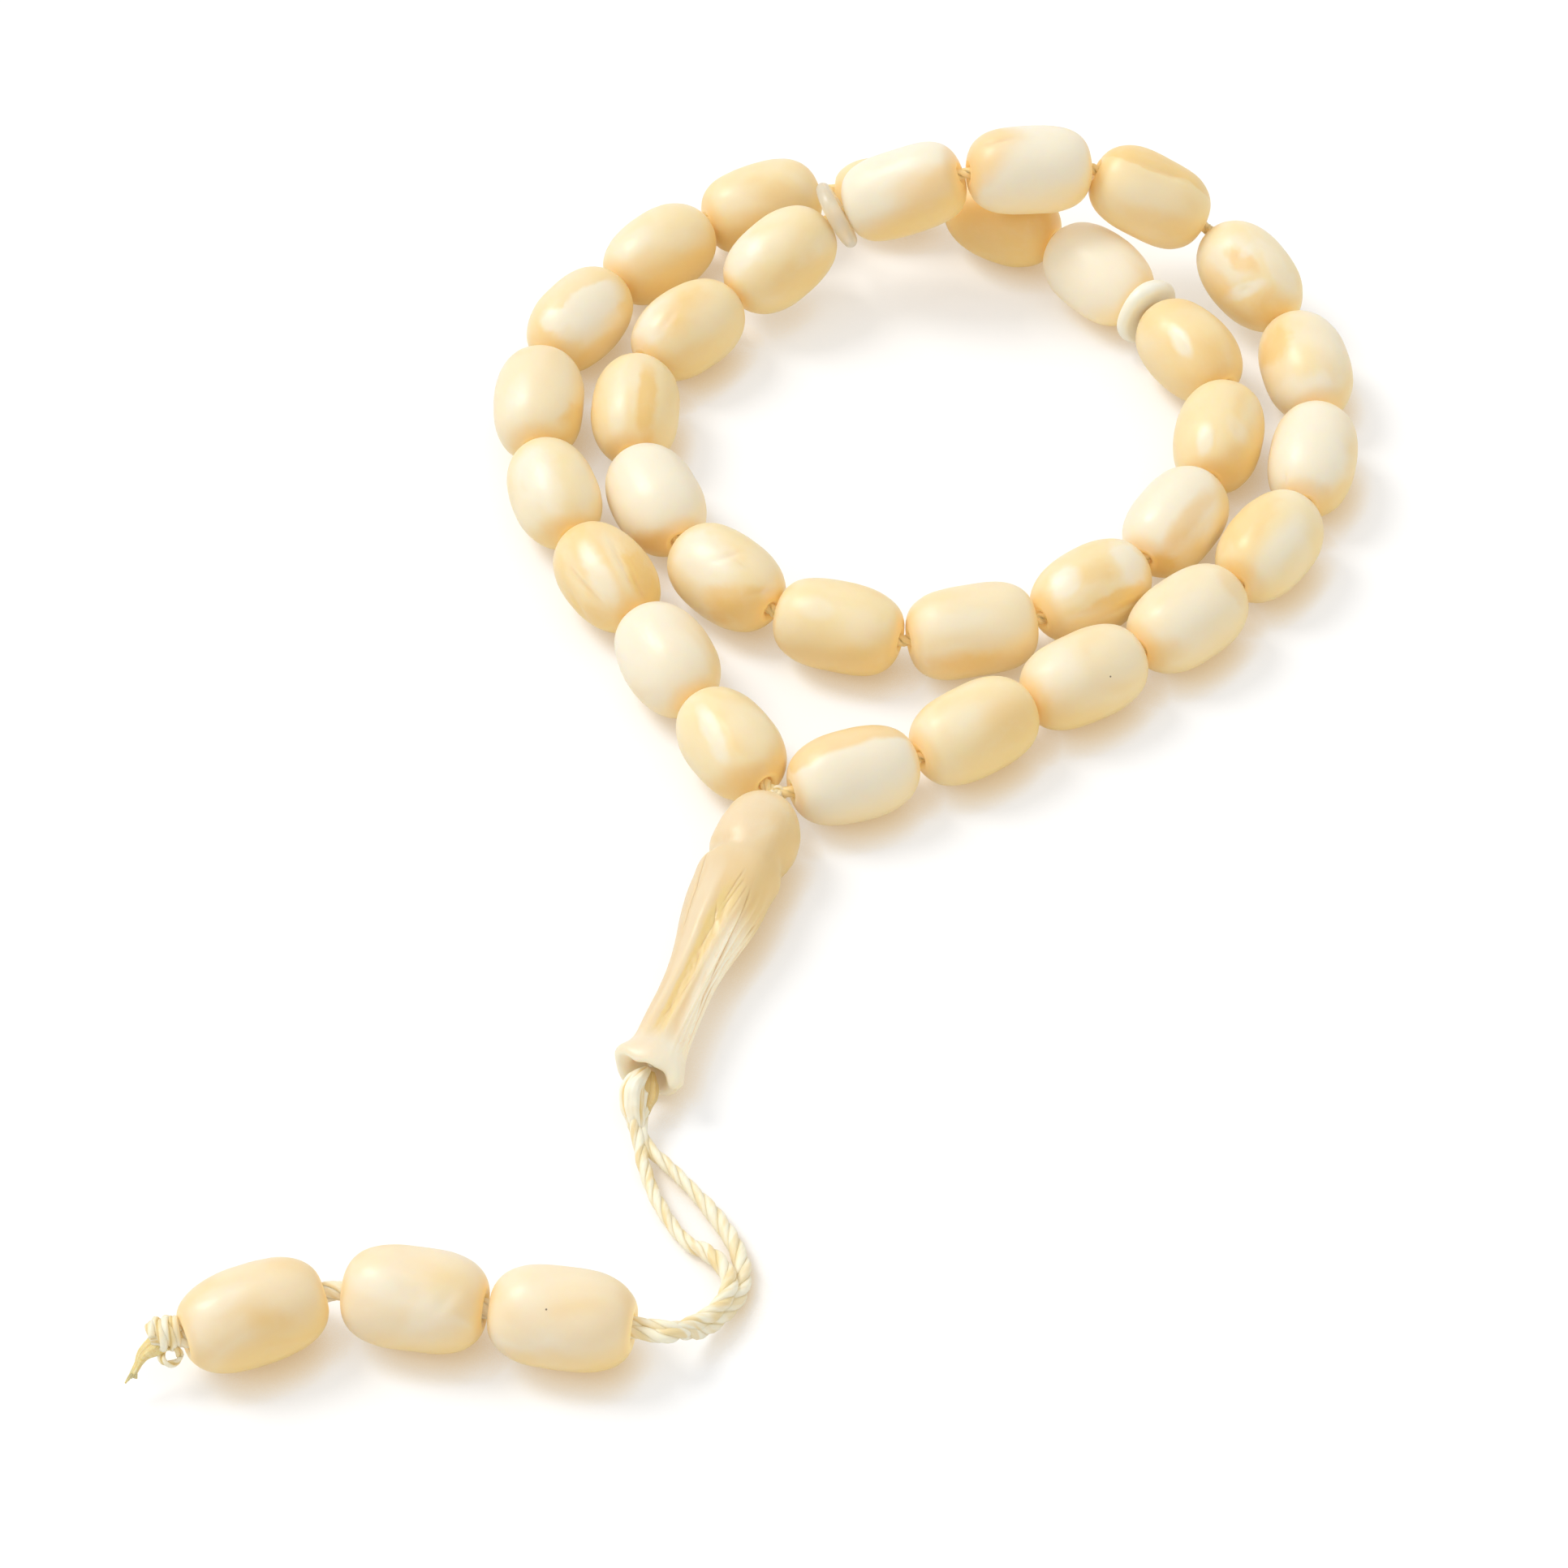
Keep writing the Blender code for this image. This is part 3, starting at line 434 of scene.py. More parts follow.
    # bead_25: its glow is a painted glow.
    "bead_25": dict(power=2.3, glow=0.03, slim=0.83, dark=0.2),
    # bead_26: the ochre along the lower edge is painted shade, and the white blob at the left is a painted highlight.
    "bead_26": dict(power=2.8, dark=0.04, ochre=(0.1, -0.95, 0.1, 0.50, 0.35), blobs=[(-2.8, 0.4, 2.6, 1.4, 10, 0.8, WHITE, 0.4)]),
    # bead_27: the ochre on the lower right is painted shade, and the white blob at the left is a painted highlight.
    "bead_27": dict(power=2.5, dark=0.05, ochre=(0.55, -0.8, 0.1, 0.30, 0.35), blobs=[(-2.8, 0.8, 2.2, 1.2, 40, 0.6, WHITE, 0.5), (2.8, 1.4, 3.0, 1.2, 10, 0.8, PINK, 0.6)]),
    "bead_28": dict(power=2.4, dark=0.20, blobs=[(1.7, 1.5, 4.4, 2.0, 40, 0.22, WHITE, 0.88), (-2.2, -0.4, 1.7, 1.3, 10, 0.30, WHITE, 0.85), (2.8, -1.2, 3.0, 2.6, 50, 0.35, WHITE, 0.75), (0.0, -1.2, 3.0, 1.4, 10, 0.4, WHITE, 0.7), (1.2, -4.2, 4.0, 0.9, 45, 0.6, OCHRE, 0.5)]),
    # bead_29: the ochre blob at the lower right is painted shade, and the white blob at the left is a painted
    # highlight.
    "bead_29": dict(power=2.7, base=PINK, blobs=[(3.4, -2.7, 2.8, 1.2, 62, 0.5, OCHRE, 0.75), (-1.8, -0.4, 2.6, 1.2, 85, 0.8, WHITE, 0.55), (1.6, -3.2, 1.6, 1.0, 20, 0.6, CREAM, 0.8)]),
    # bead_30: the ochre blob at the bottom is painted shade.
    "bead_30": dict(power=2.25, base=CREAM, blobs=[(-1.9, 2.0, 4.6, 2.2, -62, 0.6, WHITE, 0.92), (-2.6, -1.8, 2.4, 1.4, -60, 0.6, WHITE, 0.5), (0.6, -4.6, 2.6, 1.6, 0, 0.7, OCHRE, 0.5)]),
    "bead_31": dict(power=2.3, dark=0.34, swirl=0.9, blobs=[(-0.7, 0.1, 3.4, 1.2, -62, 0.55, WHITE, 0.72), (1.0, 1.8, 3.8, 0.7, -66, 0.5, PINK, 0.6), (4.0, -0.8, 4.6, 1.3, -62, 0.4, OCHRE, 0.85), (-3.2, 0.6, 3.6, 0.8, -70, 0.6, PINK, 0.5), (-1.6, -4.2, 2.6, 1.2, -30, 0.6, OCHRE, 0.5)],
                    marks=[(-2.3, -0.8, 4.4, 0.42, 0.24, -52), (-3.0, -2.6, 3.4, 0.40, 0.20, -56), (-1.3, -1.6, 3.6, 0.32, 0.18, -50), (1.6, 1.2, 6.0, 0.42, 0.22, -66), (3.0, -0.4, 5.0, 0.36, 0.16, -62)], specks=((-1.3, 0.1), (-0.9, 0.15))),
    "bead_32": dict(power=2.35, base=PINK, white=(-0.4, 0.5, 0.6, 0.20, 0.40), blobs=[(-2.0, -0.8, 3.0, 1.4, -60, 0.8, WHITE, 0.5)]),
    # bead_33: the sharp white blob at the upper left is a painted highlight, and the ochre below is painted shade.
    "bead_33": dict(power=2.35, ochre=(0.5, -0.85, 0.1, 0.50, 0.25), blobs=[(-1.8, 1.0, 2.8, 1.0, -66, 0.35, WHITE, 0.75), (1.2, 1.6, 3.2, 1.2, -60, 0.7, PINK, 0.7)], marks=[(-0.6, 0.8, 2.4, 0.6, 0.08, -66)], specks=((3.1, 0.5),)),
    # tail_bead_1: the white blob at the upper left is a painted highlight.
    "tail_bead_1": dict(power=2.8, base=(0.915, 0.765, 0.53), ochre=(0.2, -1, 0.1, 0.82, 0.3), specks=((-1.2, 1.2),), blobs=[(-3.2, 2.2, 2.6, 1.6, -10, 0.8, WHITE, 0.4)]),
    # tail_bead_2: the first white blob, at the upper left, is a painted highlight.
    "tail_bead_2": dict(power=2.9, base=(0.91, 0.765, 0.54), blobs=[(-3.6, 1.8, 2.0, 1.0, -5, 0.6, WHITE, 0.5), (1.6, -0.4, 3.0, 1.2, 40, 0.6, WHITE, 0.40), (3.2, 1.8, 2.4, 1.4, 0, 0.8, CREAM, 0.5)],
                        marks=[(0.2, 0.9, 3.6, 1.6, 0.20, -30), (2.8, 0.2, 3.0, 1.2, 0.14, 50)], ochre=(0.3, -1, 0.1, 0.85, 0.3)),
    # tail_bead_3: the white blob at the upper left is a painted highlight.
    "tail_bead_3": dict(power=2.7, base=(0.90, 0.735, 0.47), ochre=(0.5, -0.8, 0.1, 0.62, 0.3), blobs=[(1.9, -0.6, 2.0, 1.5, 20, 0.8, OCHRE, 0.4), (-2.6, 1.6, 2.6, 1.0, 25, 0.6, WHITE, 0.45)], marks=[(-1.6, 2.8, 6.0, 0.7, 0.12, 20)]),
}


def seen_point(right, up, centre, t, half):
    """The point of a bead's near side that lies so far right of and above its centre in the front view, in its own axes (mm)."""
    e = [local(v, t) for v in (CAM_RIGHT, CAM_UP, -CAM_FORWARD)]
    p = e[0] * right + e[1] * up
    lo, hi = 0.0, 12.0
    for _ in range(24):
        mid = (lo + hi) / 2
        q = (p + e[2] * mid) / half
        if np.dot(q, q) < 1.0:
            lo = mid
        else:
            hi = mid
    return p + e[2] * lo, e


def stretch(section, back, fore):
    """Lengthens the two halves of a section by so many mm."""
    h = max(x for x, r in section)
    return [(x * (1 + (fore if x > 0 else back) / h), r) for x, r in section]


def rings(section, centre, t, side):
    """Points all over one end of a turned piece, or all over it."""
    pts = [(x, r) for x, r in section if x * side > 1.5 or not side]
    u = np.cross(t, (0.0, 0.0, 1.0))
    u /= np.linalg.norm(u)
    v = np.cross(t, u)
    a = np.linspace(0, 2 * math.pi, 40, endpoint=False)
    return np.concatenate([centre + t * x + r * (np.outer(np.cos(a), u) + np.outer(np.sin(a), v)) for x, r in pts])


def clearance(points, section, centre, t):
    """Smallest distance from the points to a turned piece."""
    d = points - centre
    x = d @ t
    q = np.stack([x, np.linalg.norm(d - np.outer(x, t), axis=1)], 1)
    p = np.array(section)
    a, b = p, np.roll(p, -1, axis=0)
    ab = b - a
    w = np.clip(((q[:, None] - a) * ab).sum(2) / np.maximum((ab * ab).sum(1), 1e-12), 0, 1)
    far = np.linalg.norm(q[:, None] - (a + ab * w[..., None]), axis=2).min(1)
    return far.min()


def fullness(coil):
    """The barrel exponent of each bead, eased where two fuller beads would come closer than 0.08 mm."""
    full = {n: LOOKS[n]["power"] for n in coil}
    pairs = [(a, b) for i, a in enumerate(coil) for b in coil[i + 1:] if np.linalg.norm(PLACE[a][0] - PLACE[b][0]) < 14.5]
    for _ in range(10):
        tight = set()
        cut = {n: outline(BEAD_L, BEAD_R + 0.10, 1.42, 1.05, full[n], rows=22) for n in coil}
        for a, b in pairs:
            if full[a] <= 2.3 and full[b] <= 2.3:
                continue
            if clearance(rings(cut[a], *PLACE[a], 0), cut[b], *PLACE[b]) < 0.08:
                tight |= {n for n in (a, b) if full[n] > 2.3}
        if not tight:
            break
        for n in tight:
            full[n] = max(2.3, full[n] - 0.1)
    return full


def reach_out(sizes):
    """How far each bead of the coil may be lengthened at either end and still clear the next one by 0.07 mm."""
    grow = {n: [0.0, 0.0] for n in ORDER}
    for a, b in zip(ORDER, ORDER[1:]):
        if a.startswith("separator") or b.startswith("separator"):
            continue
        if "slim" in LOOKS[a]:
            grow[a][1] = -0.9
            continue
        (ca, ta), (cb, tb) = PLACE[a], PLACE[b]
        lo, hi = 0.0, 0.42 if a == "bead_10" else 0.30
        for _ in range(7):
            mid = (lo + hi) / 2
            sa, sb = stretch(sizes[a], 0.0, mid), stretch(sizes[b], mid, 0.0)
            free = min(clearance(rings(sa, ca, ta, 1), sb, cb, tb), clearance(rings(sb, cb, tb, -1), sa, ca, ta))
            lo, hi = (mid, hi) if free > 0.07 else (lo, mid)
        grow[a][1] = grow[b][0] = lo
    return grow


def make_bead(name, k, length, radius, end, bore, power, grow=(0.0, 0.0)):
    look = LOOKS[name]
    centre, t = PLACE[name]
    radius *= look.get("slim", 1.0)
    wide = radius * (1.0 + 0.012 * math.sin(k * 2.3))
    half = np.array((length / 2, wide, wide))
    dents = []
    for right, up, long_, width, depth, angle in look.get("marks", []):
        at, e = seen_point(right, up, centre, t, half)
        c, s = math.cos(math.radians(angle)), math.sin(math.radians(angle))
        dents.append((at, e[0] * c + e[1] * s, e[1] * c - e[0] * s, long_ / 2, width / 2, depth))
    sx, sy = k * 3.71 % 11, k * 5.13 % 13
    oval = 0.012 * math.cos(k * 1.7)

    def shape(x, r, ang):
        free = max(0.0, min(1.0, (r - end) / 1.2)) if r > end else 0.0
        p = Vector((x / 4.2 + sx, r * math.cos(ang) / 3.6 + sy, r * math.sin(ang) / 3.6))
        lump = noise.noise(p) * 0.10 + noise.noise(p * 2.7) * 0.025 + oval * r * math.cos(2 * (ang - k)) * 0.5
        rr = r + (lump - 0.02) * free
        y, z = rr * math.sin(ang), rr * math.cos(ang)
        if free > 0:
            here = np.array((x, y, z))
            for at, along, across, hl, hw, depth in dents:
                d = here - at
                if d @ d < 36.0:
                    push = depth * math.exp(-((d @ along) / hl) ** 2 - ((d @ across) / hw) ** 2) * free
                    y, z = y * (1 - push / rr), z * (1 - push / rr)
        return (x * MM, y * MM, z * MM)

    fine = 96 if look.get("marks") else 72
    section = stretch(outline(length, wide, end, bore, power, rows=72 if look.get("marks") else 46), *grow)
    verts, faces = turned(name, section, fine, shape)
    obj = grid_object("resin_" + name, verts, faces)
    outward(obj)
    obj.matrix_world = axes_on(centre, t)
    patches = {}
    for key in ("white", "ochre"):
        if key in look:
            r_, u_, o_, threshold, soft = look[key]
            patches[key] = (local(screen(r_, u_, o_), t), threshold, soft)
    specks = [seen_point(r_, u_, centre, t, half)[0] * MM for r_, u_ in look.get("specks", ())]
    blobs = []
    for right, up, hl, hw, angle, soft, tint, amount in look.get("blobs", ()):
        at, e = seen_point(right, up, centre, t, half)
        c, s = math.cos(math.radians(angle)), math.sin(math.radians(angle))
        blobs.append((at * MM, e[0] * c + e[1] * s, e[1] * c - e[0] * s, e[2], hl * MM, hw * MM, soft, tint, amount))
    # the tail beads get a stronger painted glow at their ends
    mat = resin("resin_" + name, half * MM, k + 1, base=look.get("base", CREAM), dark=look.get("dark", 0.0), swirl=look.get("swirl", 0.5), specks=specks, blobs=blobs, end_glow=0.16 if name.startswith("tail") else 0.05, glow=look.get("glow", 0.01), **patches)
    obj.data.materials.append(mat)
    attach(obj, name)
    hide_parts(name)
    return obj


def make_beads():
    coil = [n for n in ORDER if n.startswith("bead")]
    full = fullness(coil)
    wide = {n: (BEAD_R + 0.06) * (1.0 + 0.012 * math.sin(k * 2.3)) for k, n in enumerate(coil)}
    sizes = {n: outline(BEAD_L, wide[n], 1.42, 1.05, full[n], rows=40) for n in coil}
    grow = reach_out(sizes)
    for name, back, fore in (("bead_08", 0.0, 0.24), ("bead_09", 0.24, 0.0)):       # these two part when the outer turn is lifted
        grow[name] = (grow[name][0] - back, grow[name][1] - fore)
    tail_grow = {1: (0.0, -0.16), 2: (-0.16, -0.10), 3: (-0.10, 0.0)}              # and the tail bends at these ends
    for k, name in enumerate(coil):
        make_bead(name, k, BEAD_L, BEAD_R + 0.06, 1.42, 0.76, full[name], grow[name])
    for k in (1, 2, 3):
        make_bead("tail_bead_%d" % k, 40 + k, TAIL_L + 0.06, TAIL_R + 0.02, 2.05, 1.26, LOOKS["tail_bead_%d" % k]["power"], tail_grow[k])


# ---------------------------------------------------------------- separators
def make_separators():
    for k, name in enumerate(("separator_1", "separator_2")):
        centre, t = PLACE[name]
        R, T, bore = 3.75, (1.62, 1.55)[k], 1.05
        section = []
        for i in range(25):
            a = -math.pi / 2 + math.pi * i / 24
            section.append((math.sin(a) * T / 2, R - T / 2 * 0.9 + math.cos(a) * T / 2 * 0.9))
        section += [(T / 2 * 0.96, 2.6), (T / 2 * 0.92, 1.7), (T / 2 * 0.98, 1.3), (T / 2 * 0.8, bore), (0.0, bore), (-T / 2 * 0.8, bore), (-T / 2 * 0.98, 1.3), (-T / 2 * 0.92, 1.7), (-T / 2 * 0.96, 2.6)]

        def shape(x, r, ang, k=k):
            w = 1 + 0.018 * math.sin(3 * ang + k) + 0.012 * math.sin(5 * ang)
            rr = r * (1 + (w - 1) * max(0.0, (r - 1.6) / 2.2))
            xx = x * (1 + 0.10 * math.sin(2 * ang + k * 2))
            return (xx * MM, rr * math.sin(ang) * MM, rr * math.cos(ang) * MM)

        verts, faces = turned(name, section, 72, shape)
        obj = grid_object("disc_" + name, verts, faces)
        outward(obj)
        obj.matrix_world = axes_on(centre, t)
        n = Nodes("disc_" + name)
        coord = n.add("ShaderNodeTexCoord").outputs["Object"]
        cloud = n.noise(n.vmath("ADD", coord, (k * 0.013, 0.004, 0.0)), 260.0, 3.0, 0.55, 0.8)
        radial = n.vmath("LENGTH", n.vmath("MULTIPLY", coord, (0.0, 1.0, 1.0)))
        colour = n.mix(n.ramp(cloud, 0.35, 0.7), ((0.92, 0.81, 0.60), (0.955, 0.885, 0.74))[k], ((0.955, 0.89, 0.76), (0.97, 0.92, 0.81))[k])
        colour = n.mix(n.ramp(radial, 0.0019, 0.0010, 0.0, 0.6), colour, (0.86, 0.68, 0.36))
        # painted glow: each disc gives off a little light in its own colour, brightening it in shade
        n.link(colour, n.shader.inputs["Emission Color"])
        n.shader.inputs["Emission Strength"].default_value = (0.07, 0.05)[k]
        n.link(colour, n.shader.inputs["Base Color"])
        n.link(n.ramp(cloud, 0.3, 0.7, 0.29, 0.35), n.shader.inputs["Roughness"])
        n.shader.inputs["Subsurface Weight"].default_value = 1.0
        n.shader.inputs["Subsurface Radius"].default_value = (1.0, 0.95, 0.85)
        n.shader.inputs["Subsurface Scale"].default_value = 0.0006
        n.shader.inputs["Transmission Weight"].default_value = (0.60, 0.05)[k]
        n.shader.inputs["Coat Weight"].default_value = 0.3
        n.shader.inputs["Coat Roughness"].default_value = 0.29
        n.link(n.bump(cloud, 0.10, 0.0003), n.shader.inputs["Normal"])
        obj.data.materials.append(n.mat)
        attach(obj, name)
        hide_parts(name)


# ---------------------------------------------------------------- imame
IMAME = [
    (-0.85, 1.35), (-0.78, 1.75), (-0.5, 2.2), (0.1, 2.78), (0.8, 3.3), (2.0, 3.78), (3.6, 4.06), (5.2, 4.12), (6.4, 4.02), (7.3, 3.80), (8.0, 3.66),
    (9.0, 3.82), (10.2, 3.95), (12.0, 3.92), (14.0, 3.72), (16.5, 3.32), (19.0, 2.86), (21.5, 2.56), (24.0, 2.46), (27.0, 2.50), (30.0, 2.62),
    (31.4, 2.80), (32.0, 3.05), (32.6, 3.28), (33.3, 3.36), (33.9, 3.26), (34.3, 2.95), (34.4, 2.6), (34.25, 2.25), (33.8, 2.0), (32.8, 1.75), (31.0, 1.55),
]


def bump_at(x, middle, width):
    return math.exp(-((x - middle) / width) ** 2)


CREASES = [                                          # from (s, degrees) to (s, degrees), half width in degrees, depth
    (10.9, 3, 14.3, -4, 1.7, 0.10), (11.8, 8, 15.3, -1, 1.6, 0.09), (12.4, 16, 15.4, 11, 1.6, 0.09), (15.4, -13, 17.2, -5, 1.8, 0.10), (17.2, -5, 19.6, -11, 1.8, 0.09),
    (20.4, -8, 22.6, -2, 2.0, 0.07), (23.4, 2, 26.0, -8, 2.2, 0.09), (26.0, -14, 28.2, -22, 2.2, 0.06),
    (12.7, 24, 20.3, 39, 1.8, 0.12), (20.3, 39, 28.5, 52, 2.2, 0.12), (14.5, 68, 20.0, 56, 2.0, 0.13), (20.0, 56, 30.0, 62, 2.4, 0.12), (15.5, 46, 24.0, 47, 1.8, 0.08),
    (17.0, 78, 29.0, 76, 2.6, 0.10), (9.2, -66, 13.5, -60, 2.4, 0.12), (13.5, -60, 17.5, -64, 2.4, 0.10), (12.0, 128, 28.0, 150, 2.6, 0.10), (13.0, -150, 29.0, -128, 2.6, 0.10), (14.0, 178, 27.0, 170, 2.6, 0.08),
]


def make_imame():
    centre, t = PLACE["imame"]
    pts = [arr(p) for p in IMAME]
    fine = []
    for a, b in zip(pts, pts[1:]):
        m = max(1, int(np.linalg.norm(b - a) / 0.22))
        for i in range(m):
            fine.append(a + (b - a) * i / m)
    fine.append(pts[-1])
    f = np.array(fine)
    for _ in range(10):                              # softens the corners of the profile
        f[1:-1] = f[1:-1] * 0.5 + (f[:-2] + f[2:]) * 0.25
    section = [(s - IMAME_L / 2, r) for s, r in f] + [(x - IMAME_L / 2, 1.45) for x in (28.0, 20.0, 12.0, 5.0, 1.2, -0.4)] + [(-0.85 - IMAME_L / 2, 1.30)]
    front, right = local(-CAM_FORWARD, t), local(CAM_RIGHT, t)
    at_front, at_right = math.atan2(front[1], front[2]), math.atan2(right[1], right[2])
    hand = math.copysign(1.0, math.sin(at_right - at_front))

    def shape(x, r, ang):
        s = x + IMAME_L / 2
        w = math.degrees(((ang - at_front) * hand + math.pi) % (2 * math.pi) - math.pi)   # 0 faces front, positive to the right
        skin = max(0.0, min(1.0, (r - 1.9) / 0.6)) if s > -0.5 else 0.0
        along = max(0.0, min(1.0, (s - 11.5) / 3.5)) * max(0.0, min(1.0, (33.0 - s) / 5.0))
        d = 0.0
        d -= 0.34 * bump_at(s, 7.4, 0.8) * bump_at(w, -72, 40) + 0.10 * bump_at(s, 7.6, 1.0)
        d -= 0.55 * bump_at(s, 6.4, 0.9) * bump_at(w, 74, 34)
        d += 0.42 * bump_at(s, 8.5, 1.3) * bump_at(w, 80, 30) + 0.22 * bump_at(s, 9.4, 1.2) * bump_at(w, -70, 26)
        middle = -2 - (s - 13) * 1.25
        d -= 0.34 * along * bump_at(w, middle, 13)                            # the hollow down the front
        d += 0.16 * along * (bump_at(w, middle - 24, 10) + bump_at(w, middle + 19, 7))
        for k, at in enumerate((30, 43, 57, 70, 84)):                         # fine ridges running down into the flange
            line = at * (1.0 - 0.010 * (s - 14)) + 3.0 * math.sin(s * 0.35 + k)
            d += (0.13, 0.10, 0.14, 0.10, 0.12)[k] * along * bump_at(w, line, 4.2) - 0.06 * along * bump_at(w, line + 6.5, 3.0)
        lean = 0.20 * max(0.0, min(1.0, s / 2.5)) * max(0.0, min(1.0, (8.0 - s) / 4.0)) * math.cos(math.radians(w - 90))
        d += lean
        d += 0.10 * along * (math.cos(math.radians(5 * w)) if abs(w) > 100 else 0.0) * min(1.0, max(0.0, (abs(w) - 100) / 30))
        crease = noise.noise(Vector((s * 0.9 + w * 0.06, w * 0.10 - s * 0.5, 3.0)))
        d += 0.11 * along * bump_at(w, middle + 3, 17) * crease
        if 8.0 < s < 31.0 and r > 2.0:
            for s0, w0, s1, w1, wide, deep in CREASES:
                if s0 - 0.8 < s < s1 + 0.8:
                    off = w - w0 - (w1 - w0) * (s - s0) / (s1 - s0)
                    if abs(off) < 12:
                        d -= (0.6 if abs(w) < 22 else 1.0) * deep * bump_at(off, 0, wide) * min(1.0, (s - s0 + 0.8) / 1.2, (s1 + 0.8 - s) / 1.2)
        p = Vector((s / 6.0, r * math.cos(ang) / 3.0, r * math.sin(ang) / 3.0))
        d += noise.noise(p) * 0.10 + noise.noise(p * 3.1) * 0.025 - 0.02
        lip = bump_at(s, 33.6, 1.0)
        d += lip * (0.52 * bump_at(w, -84, 26) + 0.34 * bump_at(w, 62, 26) - 0.22 * bump_at(w, -14, 34) + 0.05 * math.cos(math.radians(6 * w + 40)))
        reach = max(0.0, min(1.0, (s - 31.0) / 2.5)) * max(0.0, min(1.0, (r - 1.5) / 0.8))
        rr = r + d * skin
        xx = x + reach * (-0.55 * bump_at(w, -86, 28) + 0.85 * bump_at(w, 60, 26) + 0.30 * bump_at(w, -12, 36) + 0.09 * math.sin(math.radians(7 * w)))
        return (xx * MM, rr * math.sin(ang) * MM, rr * math.cos(ang) * MM)

    verts, faces = turned("imame", section, 300, shape)
    obj = grid_object("resin_imame", verts, faces)
    outward(obj)
    obj.matrix_world = axes_on(centre, t)

    n = Nodes("resin_imame")
    coord = n.add("ShaderNodeTexCoord").outputs["Object"]
    mm = n.vmath("MULTIPLY", coord, (1000.0, 1000.0, 1000.0))
    sep = n.add("ShaderNodeSeparateXYZ")
    n.link(mm, sep.inputs[0])
    s = n.math("ADD", sep.outputs[0], IMAME_L / 2)               # mm from the top
    f_ = unit((0.0, front[1], front[2]))
    r_ = unit(np.cross((1.0, 0.0, 0.0), f_)) * 1.0
    if r_ @ right < 0:
        r_ = -r_
    w = n.math("MULTIPLY", n.math("ARCTAN2", n.vmath("DOT_PRODUCT", mm, tuple(r_)), n.vmath("DOT_PRODUCT", mm, tuple(f_))), 180 / math.pi)
    long_ = n.noise(n.vmath("MULTIPLY", mm, (0.12, 0.7, 0.7)), 1.0, 3.0, 0.55, 0.5)
    cloud = n.noise(mm, 0.20, 2.0, 0.5, 1.2)
    colour = n.mix(n.ramp(cloud, 0.35, 0.65), (0.890, 0.745, 0.49), (0.885, 0.705, 0.42))
    wob = n.math("MULTIPLY", n.math("SUBTRACT", long_, 0.5), 26.0)

    def band(middle, half, soft, lo, hi, fade):
        """1 inside a lengthwise band about the front, between two heights."""
        off = n.math("ABSOLUTE", n.math("SUBTRACT", n.math("ADD", w, wob), middle))
        b = n.ramp(off, half + soft, half)
        return n.math("MULTIPLY", b, n.math("MULTIPLY", n.ramp(s, lo - fade, lo + fade), n.ramp(s, hi + fade, hi - fade)))

    colour = n.mix(n.math("MULTIPLY", band(75, 30, 45, 1.5, 15, 3.0), 0.80), colour, (0.83, 0.585, 0.235))        # amber right side of the head
    colour = n.mix(n.math("MULTIPLY", band(15, 30, 35, 8.5, 15.0, 2.5), 0.60), colour, (0.86, 0.62, 0.26))       # and under it
    colour = n.mix(n.math("MULTIPLY", band(-32, 16, 26, 1.0, 7.0, 2.0), 0.50), colour, (0.90, 0.775, 0.57))
    # painted shade: the flank turned towards the lamp is darkened, standing for light passing into the clear resin
    colour = n.mix(n.math("MULTIPLY", band(-75, 34, 30, 8.5, 29, 2.5), 0.75), colour, (0.80, 0.63, 0.37))        # the lit flank lets light through and looks deeper
    colour = n.mix(n.math("MULTIPLY", band(-40, 8, 12, 11.0, 29.0, 2.5), 0.60), colour, (0.905, 0.795, 0.59))    # pale stripe beside the hollow
    middle = n.math("SUBTRACT", -2.0, n.math("MULTIPLY", n.math("SUBTRACT", s, 13.0), 1.25))
    core = band(middle, 9, 8, 13.0, 31.0, 2.0)
    colour = n.mix(n.math("MULTIPLY", core, 0.88), colour, (0.92, 0.72, 0.30))
    facing = n.add("ShaderNodeLayerWeight")
    facing.inputs["Blend"].default_value = 0.5
    look_in = n.math("SUBTRACT", 1.0, facing.outputs["Facing"])    # the cord inside, seen through the stem from any side
    see = n.math("MULTIPLY", n.ramp(n.math("ADD", look_in, n.math("MULTIPLY", n.math("SUBTRACT", long_, 0.5), 0.4)), 0.80, 1.0), n.math("MULTIPLY", n.ramp(s, 14.0, 18.0), n.ramp(s, 30.0, 26.0)))
    behind = n.ramp(n.math("ABSOLUTE", w), 70.0, 110.0)
    colour = n.mix(n.math("MULTIPLY", n.math("MULTIPLY", see, behind), 0.65), colour, (0.93, 0.75, 0.35))
    colour = n.mix(n.math("MULTIPLY", band(55, 28, 20, 16.0, 31.0, 2.5), 0.75), colour, (0.955, 0.875, 0.72))
    pale = n.ramp(s, 29.5, 32.0)
    colour = n.mix(n.math("MULTIPLY", pale, 0.85), colour, (0.925, 0.865, 0.71))
    line = n.noise(n.vmath("MULTIPLY", mm, (0.16, 1.8, 1.8)), 1.0, 4.0, 0.6, 0.7)
